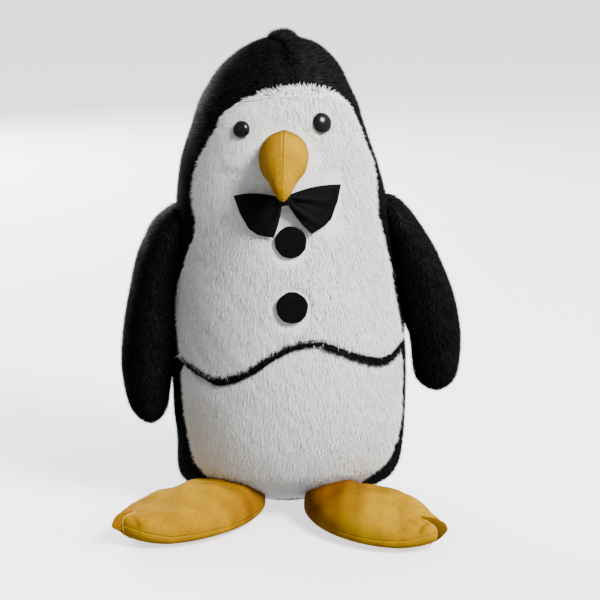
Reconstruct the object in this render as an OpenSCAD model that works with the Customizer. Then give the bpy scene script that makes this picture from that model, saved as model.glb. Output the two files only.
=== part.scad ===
// Plush penguin with a bow tie: a soft stuffed toy that sits on its base and its two feet.
// Millimetres, +Z up, the face looks along -Y, the origin is under the middle of the body on the floor.

/* [Body] */
// height of the crown above the floor
body_h = 373; // [300:1:450]
// widest half-width of the belly
belly_half_w = 88; // [70:1:110]
// how far the belly stands forward of the side seams
belly_front = 77; // [60:1:95]
// how far the back stands behind the side seams
body_back = 76; // [60:1:95]
// cloth and pile backing thickness of every plush panel
plush_t = 3; // [1.5:0.5:4]
// open gap left between two panels at a seam
seam_gap = 1; // [0.3:0.1:1]
// gap between the cloth and the fibre filling inside it
fill_gap = 2; // [1:0.1:3]
// sideways lean of the hand-made body, head to one side and belly to the other
lean = 5; // [0:0.5:8]

/* [Base] */
// radius of the flat round base panel
base_r = 34; // [25:1:45]
// thickness of the base panel
base_t = 3; // [2:0.5:5]
// how far the base panel lies behind the middle of the body
base_y = 24; // [10:1:35]

/* [Hem] */
// width of the black strip across the front
strip_w = 5; // [3:0.5:9]
// how far the strip stands out of the white plush
strip_proud = 1.2; // [0.5:0.1:3]

/* [Crown] */
// radius of the gathered knot where the head seams meet
crown_r = 9; // [5:1:14]

/* [Flippers] */
// length of the left flipper
left_flipper_len = 176; // [130:1:190]
// length of the right flipper
right_flipper_len = 162; // [130:1:190]
// widest part of a flipper, front to back
flipper_breadth = 58; // [40:1:75]
// outward hang of the left flipper, degrees
left_hang = 0; // [0:1:15]
// outward hang of the right flipper, degrees
right_hang = 4; // [0:1:15]
// cloth thickness of the flippers and the feet
limb_t = 2.4; // [1.5:0.1:3.5]

/* [Feet] */
// half-length of a foot
foot_half_len = 70; // [50:1:90]
// half-width of a foot
foot_half_w = 37; // [25:1:50]
// height of a foot
foot_h = 33; // [20:1:45]
// outward turn of the left foot, degrees
left_splay = 57; // [30:1:70]
// outward turn of the right foot, degrees
right_splay = 45; // [30:1:70]
// middle of the left foot to the side of the body middle
left_foot_x = 79; // [60:1:95]
// middle of the left foot in front of the body middle
left_foot_y = 69; // [45:1:80]
// middle of the right foot to the side of the body middle
right_foot_x = 64; // [60:1:95]
// middle of the right foot in front of the body middle
right_foot_y = 77; // [45:1:80]
// clearance between the rear of a foot and the body
foot_gap = 3.2; // [2:0.1:5]

/* [Beak] */
// greatest width of the beak
beak_w = 40; // [25:1:55]
// height of the beak where it meets the face
beak_root_h = 40; // [25:1:60]
// how far the beak stands out of the face
beak_len = 46; // [30:1:60]
// how far the tip hangs below the middle of the root
beak_droop = 28; // [10:1:45]

/* [Eyes] */
// diameter of the left eye dome
left_eye_d = 13; // [9:0.5:18]
// diameter of the right eye dome
right_eye_d = 15; // [9:0.5:18]

/* [Bow and discs] */
// reach of the left bow wing from the middle of the bow
left_wing_len = 32; // [24:1:60]
// reach of the right bow wing from the middle of the bow
right_wing_len = 39; // [24:1:60]
// outer height of a bow wing
wing_h = 42; // [20:1:55]
// thickness of a bow wing
wing_t = 3; // [2:0.5:6]
// diameter of the felt discs
disc_d = 24; // [15:1:35]
// thickness of the felt discs
disc_t = 1.6; // [1:0.2:3]

/* [Hidden] */
$fn = 48;
rows_body = 40;
cols_back = 12;
cols_front = 24;

// half-width of the body as a share of belly_half_w, at shares of the height
width_share = [
  [0.000, 0.42], [0.012, 0.64], [0.026, 0.80], [0.042, 0.90], [0.062, 0.95], [0.088, 0.978],
  [0.120, 0.99], [0.200, 1.00], [0.300, 1.005], [0.400, 0.995], [0.535, 0.96], [0.630, 0.932],
  [0.672, 0.915], [0.745, 0.848], [0.812, 0.752], [0.866, 0.676], [0.901, 0.60], [0.936, 0.52],
  [0.954, 0.458], [0.971, 0.38], [0.984, 0.295], [0.993, 0.20], [0.998, 0.105], [1.000, 0.03]
];
// how far the widest line lies behind the middle as a share of base_y, at shares of the height
side_share = [
  [0.000, 1.00], [0.012, 0.85], [0.026, 0.65], [0.042, 0.46], [0.062, 0.27], [0.088, 0.10],
  [0.120, 0.00], [0.200, 0.00], [1.000, 0.00]
];
// front reach as a share of belly_front, at shares of the height
front_share = [
  [0.000, -0.13], [0.012, 0.10], [0.026, 0.30], [0.042, 0.47], [0.062, 0.63], [0.088, 0.79],
  [0.120, 0.90], [0.200, 0.99], [0.300, 1.00], [0.400, 0.96], [0.535, 0.89], [0.630, 0.83],
  [0.672, 0.80], [0.745, 0.77], [0.812, 0.72], [0.866, 0.65], [0.901, 0.57], [0.936, 0.47],
  [0.954, 0.40], [0.971, 0.32], [0.984, 0.24], [0.993, 0.155], [0.998, 0.075], [1.000, 0.025]
];
// back reach as a share of body_back, at shares of the height
back_share = [
  [0.000, 0.815], [0.012, 0.91], [0.026, 0.96], [0.042, 0.985], [0.062, 1.00], [0.088, 1.00],
  [0.120, 1.00], [0.200, 0.99], [0.300, 0.975], [0.400, 0.95], [0.535, 0.91], [0.630, 0.87],
  [0.672, 0.84], [0.745, 0.79], [0.812, 0.73], [0.866, 0.67], [0.901, 0.60], [0.936, 0.51],
  [0.954, 0.44], [0.971, 0.35], [0.984, 0.265], [0.993, 0.175], [0.998, 0.085], [1.000, 0.03]
];
// sideways offset of the middle of the body as a share of lean
lean_share = [[0, 0.5], [0.15, 1], [0.33, 1], [0.53, 0.2], [0.70, -0.8], [0.86, -1.1], [1, -0.4]];
// white panel: angle of the left and the right side seam in degrees from the middle of the front
seam_left = [
  [0.000, -28], [0.050, -33], [0.066, -40], [0.086, -48], [0.105, -54], [0.118, -59], [0.145, -66],
  [0.175, -73], [0.230, -82], [0.400, -84], [0.455, -80], [0.505, -76], [0.540, -69], [0.575, -63],
  [0.612, -56], [0.648, -54], [0.682, -57], [0.718, -58], [0.755, -57], [0.787, -53], [0.822, -46],
  [0.857, -41], [0.872, -35], [0.884, -26], [0.893, -13], [0.899, 2], [0.902, 14]
];
seam_right = [
  [0.000, 26], [0.050, 30], [0.066, 36], [0.086, 42], [0.105, 49], [0.118, 55], [0.145, 62],
  [0.175, 72], [0.230, 81], [0.400, 82], [0.455, 77], [0.505, 70], [0.540, 68], [0.575, 63],
  [0.612, 60], [0.648, 58], [0.682, 60], [0.718, 66], [0.755, 69], [0.787, 66], [0.822, 66],
  [0.857, 61], [0.872, 57], [0.884, 50], [0.893, 40], [0.899, 28], [0.902, 18]
];
// height of the hem of the upper white panel, as a share of the height, against the angle
hem_curve = [
  [-90, 0.350], [-75, 0.336], [-58, 0.316], [-44, 0.304], [-26, 0.331], [-10, 0.372], [3, 0.391],
  [15, 0.388], [30, 0.362], [43, 0.345], [54, 0.343], [66, 0.356], [78, 0.372], [90, 0.378]
];
// height of the lowest edge of the body panels above the floor
body_low = 0.6;
// span of angle, side to side, over which the hem curve is read across the white panel
hem_span = 162;

// index of the last table row whose key is not above k
function row_at(t, k, i = 0) = (i >= len(t) - 2 || t[i + 1][0] > k) ? i : row_at(t, k, i + 1);
// slope of column c of the table at row i
function slope(t, i, c) =
  let (lo = max(i - 1, 0), hi = min(i + 1, len(t) - 1))
  (t[hi][c] - t[lo][c]) / (t[hi][0] - t[lo][0]);
// smooth reading of column c of a table at key k
function smooth(t, k, c = 1) =
  let (
    kk = min(max(k, t[0][0]), t[len(t) - 1][0]),
    i = row_at(t, kk),
    h = t[i + 1][0] - t[i][0],
    u = (kk - t[i][0]) / h,
    u2 = u * u,
    u3 = u2 * u
  )
  (2 * u3 - 3 * u2 + 1) * t[i][c] + (u3 - 2 * u2 + u) * h * slope(t, i, c)
  + (3 * u2 - 2 * u3) * t[i + 1][c] + (u3 - u2) * h * slope(t, i + 1, c);

function lean_at(s) = lean * smooth(lean_share, s);
// height share of the hem at share t across the white panel
function hem_at(t) = smooth(hem_curve, hem_span * (t - 0.5));
// point of the body surface at share s of the height and angle a, moved inward by off
function body_pt(s, a, off = 0) =
  let (
    w = max(belly_half_w * smooth(width_share, s) - off, 0.6),
    yc = base_y * smooth(side_share, s),
    df = max(belly_front * smooth(front_share, s) + yc - off, 0.6),
    db = max(body_back * smooth(back_share, s) - yc - off, 0.6),
    z = body_low + s * (body_h - body_low) + off * (1 - 2 * s)
  )
  [lean_at(s) + w * sin(a), yc - (cos(a) > 0 ? df : db) * cos(a), z];

// two triangles for one cell of a grid
function cell(a, b, c, d) = [[a, b, c], [a, c, d]];
// faces of a closed slab from an outer and an inner grid of n by m points, row by row
function slab_faces(n, m) =
  let (k = n * m)
  concat(
    [for (i = [0 : n - 2], j = [0 : m - 2])
      for (f = cell(i * m + j, i * m + j + 1, (i + 1) * m + j + 1, (i + 1) * m + j)) f],
    [for (i = [0 : n - 2], j = [0 : m - 2])
      for (f = cell(k + i * m + j, k + (i + 1) * m + j, k + (i + 1) * m + j + 1, k + i * m + j + 1)) f],
    [for (j = [0 : m - 2], f = cell(j, k + j, k + j + 1, j + 1)) f],
    [for (j = [0 : m - 2])
      for (f = cell((n - 1) * m + j, (n - 1) * m + j + 1, k + (n - 1) * m + j + 1, k + (n - 1) * m + j)) f],
    [for (i = [0 : n - 2], f = cell(i * m, (i + 1) * m, k + (i + 1) * m, k + i * m)) f],
    [for (i = [0 : n - 2])
      for (f = cell(i * m + m - 1, k + i * m + m - 1, k + (i + 1) * m + m - 1, (i + 1) * m + m - 1)) f]
  );
// closed slab: outer and inner are lists of n rows of m points
module slab(outer, inner) {
  n = len(outer);
  m = len(outer[0]);
  polyhedron(points = [for (g = [outer, inner], r = g, p = r) p], faces = slab_faces(n, m), convexity = 6);
}
// closed skin from rings of points, first and last ring closed by a fan
module rings(r) {
  n = len(r);
  m = len(r[0]);
  mid = function (q) [for (c = [0 : 2]) [for (p = q) p[c]] * [for (p = q) 1 / m]];
  polyhedron(
    points = concat([for (q = r, p = q) p], [mid(r[0]), mid(r[n - 1])]),
    faces = concat(
      [for (i = [0 : n - 2], j = [0 : m - 1])
        for (f = cell(i * m + j, (i + 1) * m + j, (i + 1) * m + (j + 1) % m, i * m + (j + 1) % m)) f],
      [for (j = [0 : m - 1]) [n * m, j, (j + 1) % m]],
      [for (j = [0 : m - 1]) [n * m + 1, (n - 1) * m + (j + 1) % m, (n - 1) * m + j]]
    ),
    convexity = 6
  );
}

// gap at a seam turned into degrees at share s of the height
function gap_deg(s) = 0.5 * seam_gap / max(belly_half_w * smooth(width_share, s), 3) * 180 / PI;
// how strongly the rows of the body crowd together at the base and at the crown
crowd = 0.13;
function body_row(i, n) = let (u = i / n) u - crowd * sin(360 * u) / PI;
// share at which the forehead seams meet
arch_s = 0.902;
// share at which the two black panels have come together on the forehead, and the angle of that seam
join_s = 0.93;
join_a = 6;

module plush_black() {
  color([0.03, 0.03, 0.035]) children();
}
module plush_white() {
  color([0.93, 0.92, 0.9]) children();
}
module felt_yellow() {
  color([0.9, 0.62, 0.06]) children();
}

// rows of shares for the back panels, twice as close beside the forehead arch
arch_near = 0.045;
back_rows = [for (i = [0 : rows_body])
  let (near = abs(body_row(i, rows_body) - arch_s) < arch_near)
  for (k = near ? [0, 0.5] : [0]) body_row(i + k, rows_body)];

// front edge of a black panel: along the white panel, then along the middle seam over the forehead
function black_edge(s, side) =
  let (
    raw = smooth(side < 0 ? seam_left : seam_right, min(s, arch_s)),
    u = min(max((s - arch_s) / (join_s - arch_s), 0), 1)
  )
  raw * (1 - u) + join_a * u + side * gap_deg(s);

// cuts away what would lie on the round base panel
module clear_of_base() {
  resize([0, 0, 0]) difference() {
    children();
    translate([base_x, base_y, -base_t]) cylinder(r = base_r + seam_gap, h = 2 * base_t + seam_gap);
  }
}
// one black panel, from the middle of the back round to the white panel
module back_half(side) {
  grid = function (off)
    [for (s = back_rows)
      let (a0 = side * (180 - gap_deg(s)), a1 = black_edge(s, side))
      [for (j = [0 : cols_back]) body_pt(s, a0 + (a1 - a0) * j / cols_back, off)]];
  clear_of_base() {
    if (side > 0) {
      slab(grid(0), grid(plush_t));
    }
    if (side < 0) {
      slab(grid(plush_t), grid(0));
    }
  }
}
module back_panel_left() {
  plush_black() back_half(-1);
}
module back_panel_right() {
  plush_black() back_half(1);
}

// white panel between two height limits given as functions of the share across the panel
module white_patch(lo, hi, n) {
  grid = function (off)
    [for (i = [0 : n])
      [for (j = [0 : cols_front])
        let (
          t = j / cols_front,
          u = i / n,
          s = lo(t) + (hi(t) - lo(t)) * u,
          l = smooth(seam_left, s) + gap_deg(s),
          r = smooth(seam_right, s) - gap_deg(s),
          a = l + (r - l) * t
        )
        body_pt(s, a, off)]];
  slab(grid(plush_t), grid(0));
}
// share of the height from the middle of the hem strip to the edge of a white panel
hem_half = (strip_w / 2 + seam_gap * 0.8) / body_h;
module chest_panel() {
  plush_white() difference() {
    white_patch(function (t) hem_at(t) + hem_half, function (t) arch_s - 0.004, 20);
    eye_holes();
  }
}
module belly_panel() {
  plush_white() clear_of_base() white_patch(function (t) 0, function (t) hem_at(t) - hem_half, 18);
}

// black strip lying along the hem from side seam to side seam
module hem_strip() {
  n = 2;
  grid = function (off)
    [for (i = [0 : n])
      [for (j = [0 : cols_front])
        let (
          t = j / cols_front,
          s = hem_at(t) + (i - 1) * strip_w / 2 / body_h,
          l = smooth(seam_left, s) + gap_deg(s),
          r = smooth(seam_right, s) - gap_deg(s),
          bulge = off < 0 && i == 1 ? strip_proud / 2 : 0
        )
        body_pt(s, l + (r - l) * t, off - bulge)]];
  plush_black() slab(grid(plush_t), grid(-strip_proud));
}

// round flat base panel
module base_panel() {
  plush_black() translate([base_x, base_y, 0]) cylinder(r = base_r, h = base_t);
}
base_x = lean_at(0);

// height of the gathered knot on the crown
crown_rise = 7.5;
// gathered knot of seam allowance on the crown
module crown_knot() {
  plush_black() translate([lean_at(1), 0, body_h + 0.6]) rotate_extrude() polygon(concat(
    [[0, 0]],
    [for (a = [0 : 10 : 90]) [crown_r * cos(a) * (0.75 + 0.25 * sin(2 * a)), crown_rise * sin(a)]]
  ));
}

// fibre filling of the body, with blind bores for the eye shanks
module body_stuffing() {
  n = 28;
  m = 30;
  off = plush_t + fill_gap;
  color([0.95, 0.95, 0.93]) difference() {
    rings([for (i = [0 : n]) let (s = body_row(i, n))
      [for (j = [0 : m - 1]) body_pt(min(max(s, 0.004), 0.996), j * 360 / m, off)]]);
    eye_bores();
  }
}

// ---- eyes ----
// height share and angle of the two eyes
eye_s = [0.829, 0.841];
eye_a = [-26, 26];
eye_d = [left_eye_d, right_eye_d];
// shank and washer that hold an eye, and how deep the shank reaches behind the cloth
shank_d = 4.5;
washer_d = 15;
washer_t = 1.6;
eye_sink = 10.5;
// height of an eye dome over its rim, and of the rim over the cloth
dome_h = 4.6;
rim_h = 2;
// place children at an eye, +Z pointing out of the face
module at_eye(i) {
  p = body_pt(eye_s[i], eye_a[i]);
  translate(p) rotate([90, 0, eye_a[i] * 1.05]) rotate([-12, 0, 0]) children();
}
module eye_holes() {
  for (i = [0, 1]) {
    at_eye(i) translate([0, 0, -8]) cylinder(d = shank_d + 0.6, h = 20);
  }
}
module eye_bores() {
  for (i = [0, 1]) {
    at_eye(i) translate([0, 0, -eye_sink - 2]) cylinder(d = washer_d + washer_t, h = 30);
  }
}
module eye(i) {
  color([0.02, 0.02, 0.02]) at_eye(i) rotate_extrude() polygon(concat(
    [[0, -eye_sink], [shank_d / 2, -eye_sink], [shank_d / 2, 0.5], [eye_d[i] / 2 - 0.8, 0.5],
     [eye_d[i] / 2, 1.2], [eye_d[i] / 2, rim_h]],
    [for (a = [10 : 10 : 80]) [eye_d[i] / 2 * cos(a), rim_h + dome_h * sin(a)]],
    [[0, rim_h + dome_h]]
  ));
}
module eye_washer(i) {
  color([0.85, 0.85, 0.83]) at_eye(i) translate([0, 0, -eye_sink + 1.2]) difference() {
    cylinder(d = washer_d, h = washer_t);
    translate([0, 0, -1]) cylinder(d = shank_d + 0.3, h = 4);
  }
}
module left_eye() {
  eye(0);
}
module left_eye_washer() {
  eye_washer(0);
}
module right_eye() {
  eye(1);
}
module right_eye_washer() {
  eye_washer(1);
}

// ---- beak ----
// height share, angle and turn of the middle of its root, and the gap between root and face
beak_s = 0.776;
beak_a = -0.5;
beak_yaw = -5;
beak_clear = 2.4;
beak_root = body_pt(beak_s, beak_a);
// cloth thickness, gap between the two halves and share of the length at which the cloth ends
beak_cloth = 1.6;
beak_seam = 0.6;
beak_end = 0.96;
// section of the beak at share t from root to tip, reduced by off
function beak_ring(t, off, m, a0, a1) =
  let (
    tt = t * (1 - off / beak_len) + (off > 0 ? 0.02 : 0),
    taper = pow(max(1 - tt, 0), 0.62),
    bulge = 1 + 0.10 * sin(180 * min(tt * 1.6, 1)),
    hw = max(beak_w / 2 * taper * bulge - off, 0.35),
    hh = max(beak_root_h / 2 * taper * bulge - off, 0.35),
    yc = -beak_len * sin(90 * tt),
    zc = -beak_droop * (1 - cos(90 * tt)) - 2,
    tilt = 62 * tt
  )
  [for (j = [0 : m])
    let (a = a0 + (a1 - a0) * j / m, px = hw * sin(a), pz = hh * cos(a))
    [px, yc - pz * sin(tilt) * 0.9, zc + pz * cos(tilt)]];
module beak_half(side) {
  n = 12;
  m = 10;
  outer = [for (i = [0 : n]) beak_ring(i / n * beak_end, 0, m, 0, side * 180)];
  inner = [for (i = [0 : n]) beak_ring(i / n * beak_end, beak_cloth, m, 0, side * 180)];
  felt_yellow() at_beak() translate([side * beak_seam / 2, 0, 0]) {
    if (side > 0) {
      slab(outer, inner);
    }
    if (side < 0) {
      slab(inner, outer);
    }
  }
}
module at_beak() {
  translate([beak_root[0], beak_root[1] - beak_clear, beak_root[2]]) rotate([0, 0, beak_yaw]) children();
}
module beak_left_panel() {
  beak_half(-1);
}
module beak_right_panel() {
  beak_half(1);
}
module beak_stuffing() {
  n = 10;
  m = 20;
  color([0.95, 0.95, 0.93]) at_beak()
    rings([for (i = [0 : n])
      let (q = beak_ring(i / n * 0.9, beak_cloth + beak_seam, m, 0, 360))
      [for (j = [m - 1 : -1 : 0]) q[j]]]);
}

// ---- bow tie ----
// height share and angle of the knot, its width and how far the bow stands off the cloth
bow_s = 0.690;
bow_a = -3.5;
bow_root = body_pt(bow_s, bow_a);
knot_w = 12;
bow_lift = 7;
// height of a wing beside the knot as a share of its outer height
pinch = 0.22;
// one pleated wing, thin and gently dished, its upper corner reaching further than the lower one
module wing(side, h, reach, turn) {
  n = 12;
  m = 10;
  pt = function (i, j, dy)
    let (
      u = i / n,
      v = j / m * 2 - 1,
      x0 = (knot_w / 2 + 0.4 + pinch * h / 2 * sin(abs(turn))) / cos(turn),
      x = x0 + u * (reach * (1 + 0.18 * v - 0.18 * v * v) - x0),
      hh = (pinch + (1 - pinch) * pow(u, 0.8)) * h / 2,
      fold = 2.2 * sin(v * 270) * (1 - u * 0.75) * sin(180 * min(u + 0.25, 1)),
      z = v * hh,
      y = -3.5 + fold + dy - 3 * sin(180 * u) * (1 - v * v) + x * x * 0.0035
    )
    [side * x, y, z];
  a = [for (i = [0 : n]) [for (j = [0 : m]) pt(i, j, -wing_t / 2)]];
  b = [for (i = [0 : n]) [for (j = [0 : m]) pt(i, j, wing_t / 2)]];
  color([0.03, 0.03, 0.03]) at_bow() rotate([0, turn, 0]) {
    if (side > 0) {
      slab(a, b);
    }
    if (side < 0) {
      slab(b, a);
    }
  }
}
module at_bow() {
  translate([bow_root[0], bow_root[1] - bow_lift, bow_root[2]]) rotate([0, 0, bow_a]) children();
}
module bow_left_wing() {
  wing(-1, wing_h, left_wing_len, -27);
}
module bow_right_wing() {
  wing(1, wing_h, right_wing_len, 11);
}
module bow_knot() {
  color([0.03, 0.03, 0.03]) at_bow() translate([0, -3.5, 0]) rotate([0, 90, 0])
    translate([0, 0, -knot_w / 2]) intersection() {
      scale([1, 0.62, 1]) cylinder(r = 9.5, h = knot_w);
      translate([0, 0, knot_w / 2]) sphere(r = 11);
    }
}

// ---- felt discs ----
// height of the discs and the bow above the cloth, resting on the pile
disc_lift = 3;
// backward tip of the discs in degrees, following the belly
disc_tip = 4;
module disc_at(s, a) {
  p = body_pt(s, a);
  color([0.03, 0.03, 0.03]) translate(p) rotate([90 - disc_tip, 0, a])
    translate([0, 0, disc_lift]) cylinder(d = disc_d, h = disc_t);
}
module upper_button() {
  disc_at(0.603, -0.6);
}
module lower_button() {
  disc_at(0.474, -3);
}

// ---- flippers ----
// height and sideways place of the two shoulder lines
hinge_z = [239, 246];
hinge_x = [-87, 89];
flip_len = [left_flipper_len, right_flipper_len];
hang = [left_hang, right_hang];
// outer reach, inner reach and half-breadth share along a flipper
flip_shape = [
  [0.00, 8.0, 2.0, 0.40], [0.05, 13.0, 1.4, 0.66], [0.10, 18.0, 1.0, 0.80], [0.20, 25.5, 1.0, 0.93],
  [0.30, 31.0, 1.8, 0.98], [0.40, 35.5, 3.4, 1.00], [0.50, 39.5, 5.5, 1.00], [0.60, 42.5, 7.8, 1.00],
  [0.70, 43.5, 9.6, 0.99], [0.80, 42.8, 11.0, 0.95], [0.88, 39.5, 12.5, 0.85], [0.94, 36.0, 13.5, 0.72],
  [0.98, 32.5, 16.0, 0.54], [1.00, 29.0, 19.0, 0.34]
];
function flip_row(i, n) = let (u = i / n) u - 0.5 * sin(360 * u) / (2 * PI);
// point of a flipper at share t and angle a (0 outward, 180 inward), moved inward by off
function flip_pt(k, t, a, off) =
  let (
    o = smooth(flip_shape, t, 1),
    i = smooth(flip_shape, t, 2),
    hx = max((o - i) / 2 - off, 0.5),
    hy = max(flipper_breadth / 2 * smooth(flip_shape, t, 3) - off * 1.1, 0.6),
    z = -(t * flip_len[k] + off * (1 - 2 * t)) - 0.5
  )
  [(o + i) / 2 + hx * cos(a), hy * sin(a), z];
module at_flipper(k) {
  side = k == 0 ? -1 : 1;
  translate([hinge_x[k], 0, hinge_z[k]]) rotate([0, -side * hang[k], 0])
    multmatrix([[side, 0, 0, 0], [0, 1, 0, 0], [0, 0, 1, 0]]) children();
}
// cloth of one side of a flipper, with g degrees left open at each seam
module flipper_panel(k, a0, a1) {
  n = 15;
  m = 11;
  g = 1.6;
  grid = function (off)
    [for (i = [0 : n])
      [for (j = [0 : m]) flip_pt(k, flip_row(i, n), a0 + g + (a1 - a0 - 2 * g) * j / m, off)]];
  plush_black() at_flipper(k) slab(grid(0), grid(limb_t));
}
// fibre filling of a flipper, a little shorter than its cloth at both ends
module flipper_fill(k) {
  n = 14;
  m = 20;
  color([0.95, 0.95, 0.93]) at_flipper(k)
    rings([for (i = [0 : n]) [for (j = [m - 1 : -1 : 0])
      flip_pt(k, flip_row(i, n) * 0.97 + 0.015, j * 360 / m, limb_t + fill_gap)]]);
}
module left_flipper_outer() {
  flipper_panel(0, -90, 90);
}
module left_flipper_inner() {
  flipper_panel(0, 90, 270);
}
module left_flipper_stuffing() {
  flipper_fill(0);
}
module right_flipper_outer() {
  flipper_panel(1, -90, 90);
}
module right_flipper_inner() {
  flipper_panel(1, 90, 270);
}
module right_flipper_stuffing() {
  flipper_fill(1);
}

// ---- feet ----
splay = [left_splay, right_splay];
foot_x = [-left_foot_x, right_foot_x];
foot_y = [-left_foot_y, -right_foot_y];
// height of the widest line of a foot
foot_mid_z = 12;
// how far the top and the sole of a foot each stand off their common middle line
foot_part = 0.3;
// point of a foot at radius share r and angle a, on the top (up = 1) or the sole (up = -1)
function foot_pt(r, a, up, off) =
  let (
    u = r * cos(a),
    v = r * sin(a),
    toe = max(u, 0),
    t = sqrt(max(1 - r * r, 0)),
    hl = foot_half_len - off * 1.6,
    hw = foot_half_w - off * 1.3,
    top = max(foot_h - foot_mid_z - off, 1),
    low = max(foot_mid_z - off, 1)
  )
  [u * hl, v * hw * (1 - 0.32 * pow(abs(u), 2.4)),
   foot_mid_z + (up > 0 ? top * pow(t, 0.9) * (1 - 0.25 * pow(toe, 3)) : -low * pow(t, 0.55))];
module at_foot(k) {
  side = k == 0 ? -1 : 1;
  translate([foot_x[k], foot_y[k], 0]) rotate([0, 0, -90 + side * splay[k]]) children();
}
// disc-like grid of the foot skin, polar around a small middle ring
function foot_grid(up, off, n, m) =
  [for (i = [0 : n])
    let (r = sin(90 * (0.04 + 0.955 * i / n)))
    [for (j = [0 : m - 1]) foot_pt(r, j * 360 / m, up, off)]];
// closed dish between an outer and an inner skin
module dish(o, i) {
  n = len(o);
  m = len(o[0]);
  k = n * m;
  mid = function (q) [for (c = [0 : 2]) [for (p = q) p[c]] * [for (p = q) 1 / m]];
  polyhedron(
    points = concat([for (q = o, p = q) p], [for (q = i, p = q) p], [mid(o[0]), mid(i[0])]),
    faces = concat(
      [for (a = [0 : n - 2], b = [0 : m - 1])
        for (f = cell(a * m + b, a * m + (b + 1) % m, (a + 1) * m + (b + 1) % m, (a + 1) * m + b)) f],
      [for (a = [0 : n - 2], b = [0 : m - 1])
        let (c = k + a * m, d = k + (a + 1) * m, e = (b + 1) % m)
        for (f = cell(c + b, d + b, d + e, c + e)) f],
      [for (b = [0 : m - 1])
        let (c = (n - 1) * m, e = (b + 1) % m)
        for (f = cell(c + b, c + e, k + c + e, k + c + b)) f],
      [for (b = [0 : m - 1]) [2 * k, (b + 1) % m, b]],
      [for (b = [0 : m - 1]) [2 * k + 1, k + b, k + (b + 1) % m]]
    ),
    convexity = 6
  );
}
// solid of the body grown outward, used to trim the rear of the feet
module body_grown(by) {
  n = 24;
  m = 30;
  low_part = 0.4;
  rings([for (i = [0 : n])
    let (s = body_row(i, n) * low_part)
    [for (j = [0 : m - 1]) body_pt(s, j * 360 / m, -by)]]);
}
// how far the feet stay clear of the base panel all round
base_clear = 12;
// a foot part in place, cut clear of the body and the base
module foot_trim(k) {
  resize([0, 0, 0]) difference() {
    at_foot(k) children();
    body_grown(foot_gap);
    translate([base_x, base_y, -10]) cylinder(r = base_r + base_clear, h = 30);
  }
}
module foot_top(k) {
  felt_yellow() foot_trim(k) translate([0, 0, foot_part])
    dish(foot_grid(1, 0, 7, 28), foot_grid(1, limb_t, 7, 28));
}
module foot_sole(k) {
  felt_yellow() foot_trim(k) translate([0, 0, -foot_part])
    dish(foot_grid(-1, limb_t, 7, 28), foot_grid(-1, 0, 7, 28));
}
module foot_fill(k) {
  off = limb_t + 2 * foot_part;
  up = foot_grid(1, off, 6, 24);
  dn = foot_grid(-1, off, 6, 24);
  color([0.95, 0.95, 0.93]) foot_trim(k)
    rings(concat([for (i = [0 : 6]) dn[i]], [for (i = [6 : -1 : 0]) up[i]]));
}
module left_foot_top() {
  foot_top(0);
}
module left_foot_sole() {
  foot_sole(0);
}
module left_foot_stuffing() {
  foot_fill(0);
}
module right_foot_top() {
  foot_top(1);
}
module right_foot_sole() {
  foot_sole(1);
}
module right_foot_stuffing() {
  foot_fill(1);
}

body_stuffing();
back_panel_left();
back_panel_right();
chest_panel();
belly_panel();
hem_strip();
base_panel();
crown_knot();
left_eye();
left_eye_washer();
right_eye();
right_eye_washer();
beak_left_panel();
beak_right_panel();
beak_stuffing();
bow_left_wing();
bow_right_wing();
bow_knot();
upper_button();
lower_button();
left_flipper_outer();
left_flipper_inner();
left_flipper_stuffing();
right_flipper_outer();
right_flipper_inner();
right_flipper_stuffing();
left_foot_top();
left_foot_sole();
left_foot_stuffing();
right_foot_top();
right_foot_sole();
right_foot_stuffing();
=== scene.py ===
import math
import bpy
import numpy as np
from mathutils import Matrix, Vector


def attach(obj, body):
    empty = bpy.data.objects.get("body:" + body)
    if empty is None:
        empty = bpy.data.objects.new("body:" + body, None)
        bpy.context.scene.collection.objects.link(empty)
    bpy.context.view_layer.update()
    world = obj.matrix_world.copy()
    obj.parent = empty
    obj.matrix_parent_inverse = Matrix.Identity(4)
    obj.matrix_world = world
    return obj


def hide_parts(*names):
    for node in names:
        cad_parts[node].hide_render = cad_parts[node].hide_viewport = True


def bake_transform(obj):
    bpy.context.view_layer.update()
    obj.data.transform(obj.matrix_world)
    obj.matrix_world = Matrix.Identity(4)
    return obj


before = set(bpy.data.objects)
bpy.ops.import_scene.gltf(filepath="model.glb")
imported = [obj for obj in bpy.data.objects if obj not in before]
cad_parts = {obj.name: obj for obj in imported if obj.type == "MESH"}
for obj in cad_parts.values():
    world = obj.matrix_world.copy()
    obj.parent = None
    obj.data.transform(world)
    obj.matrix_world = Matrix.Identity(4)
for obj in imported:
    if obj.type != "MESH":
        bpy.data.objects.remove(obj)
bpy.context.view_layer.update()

RNG = np.random.default_rng(20)
MM = 0.001
FUR = 1.0      # share of the pile that is laid
PER_RAD = 57.3                         # degrees in a radian
FLOOR_GAP = 0.05                       # no pile tip comes closer to the floor, in millimetres
MAX_FACES = 190000                     # most faces of pile in one piece
PILE_DENSITY = 2.0                     # tufts per square millimetre

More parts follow.
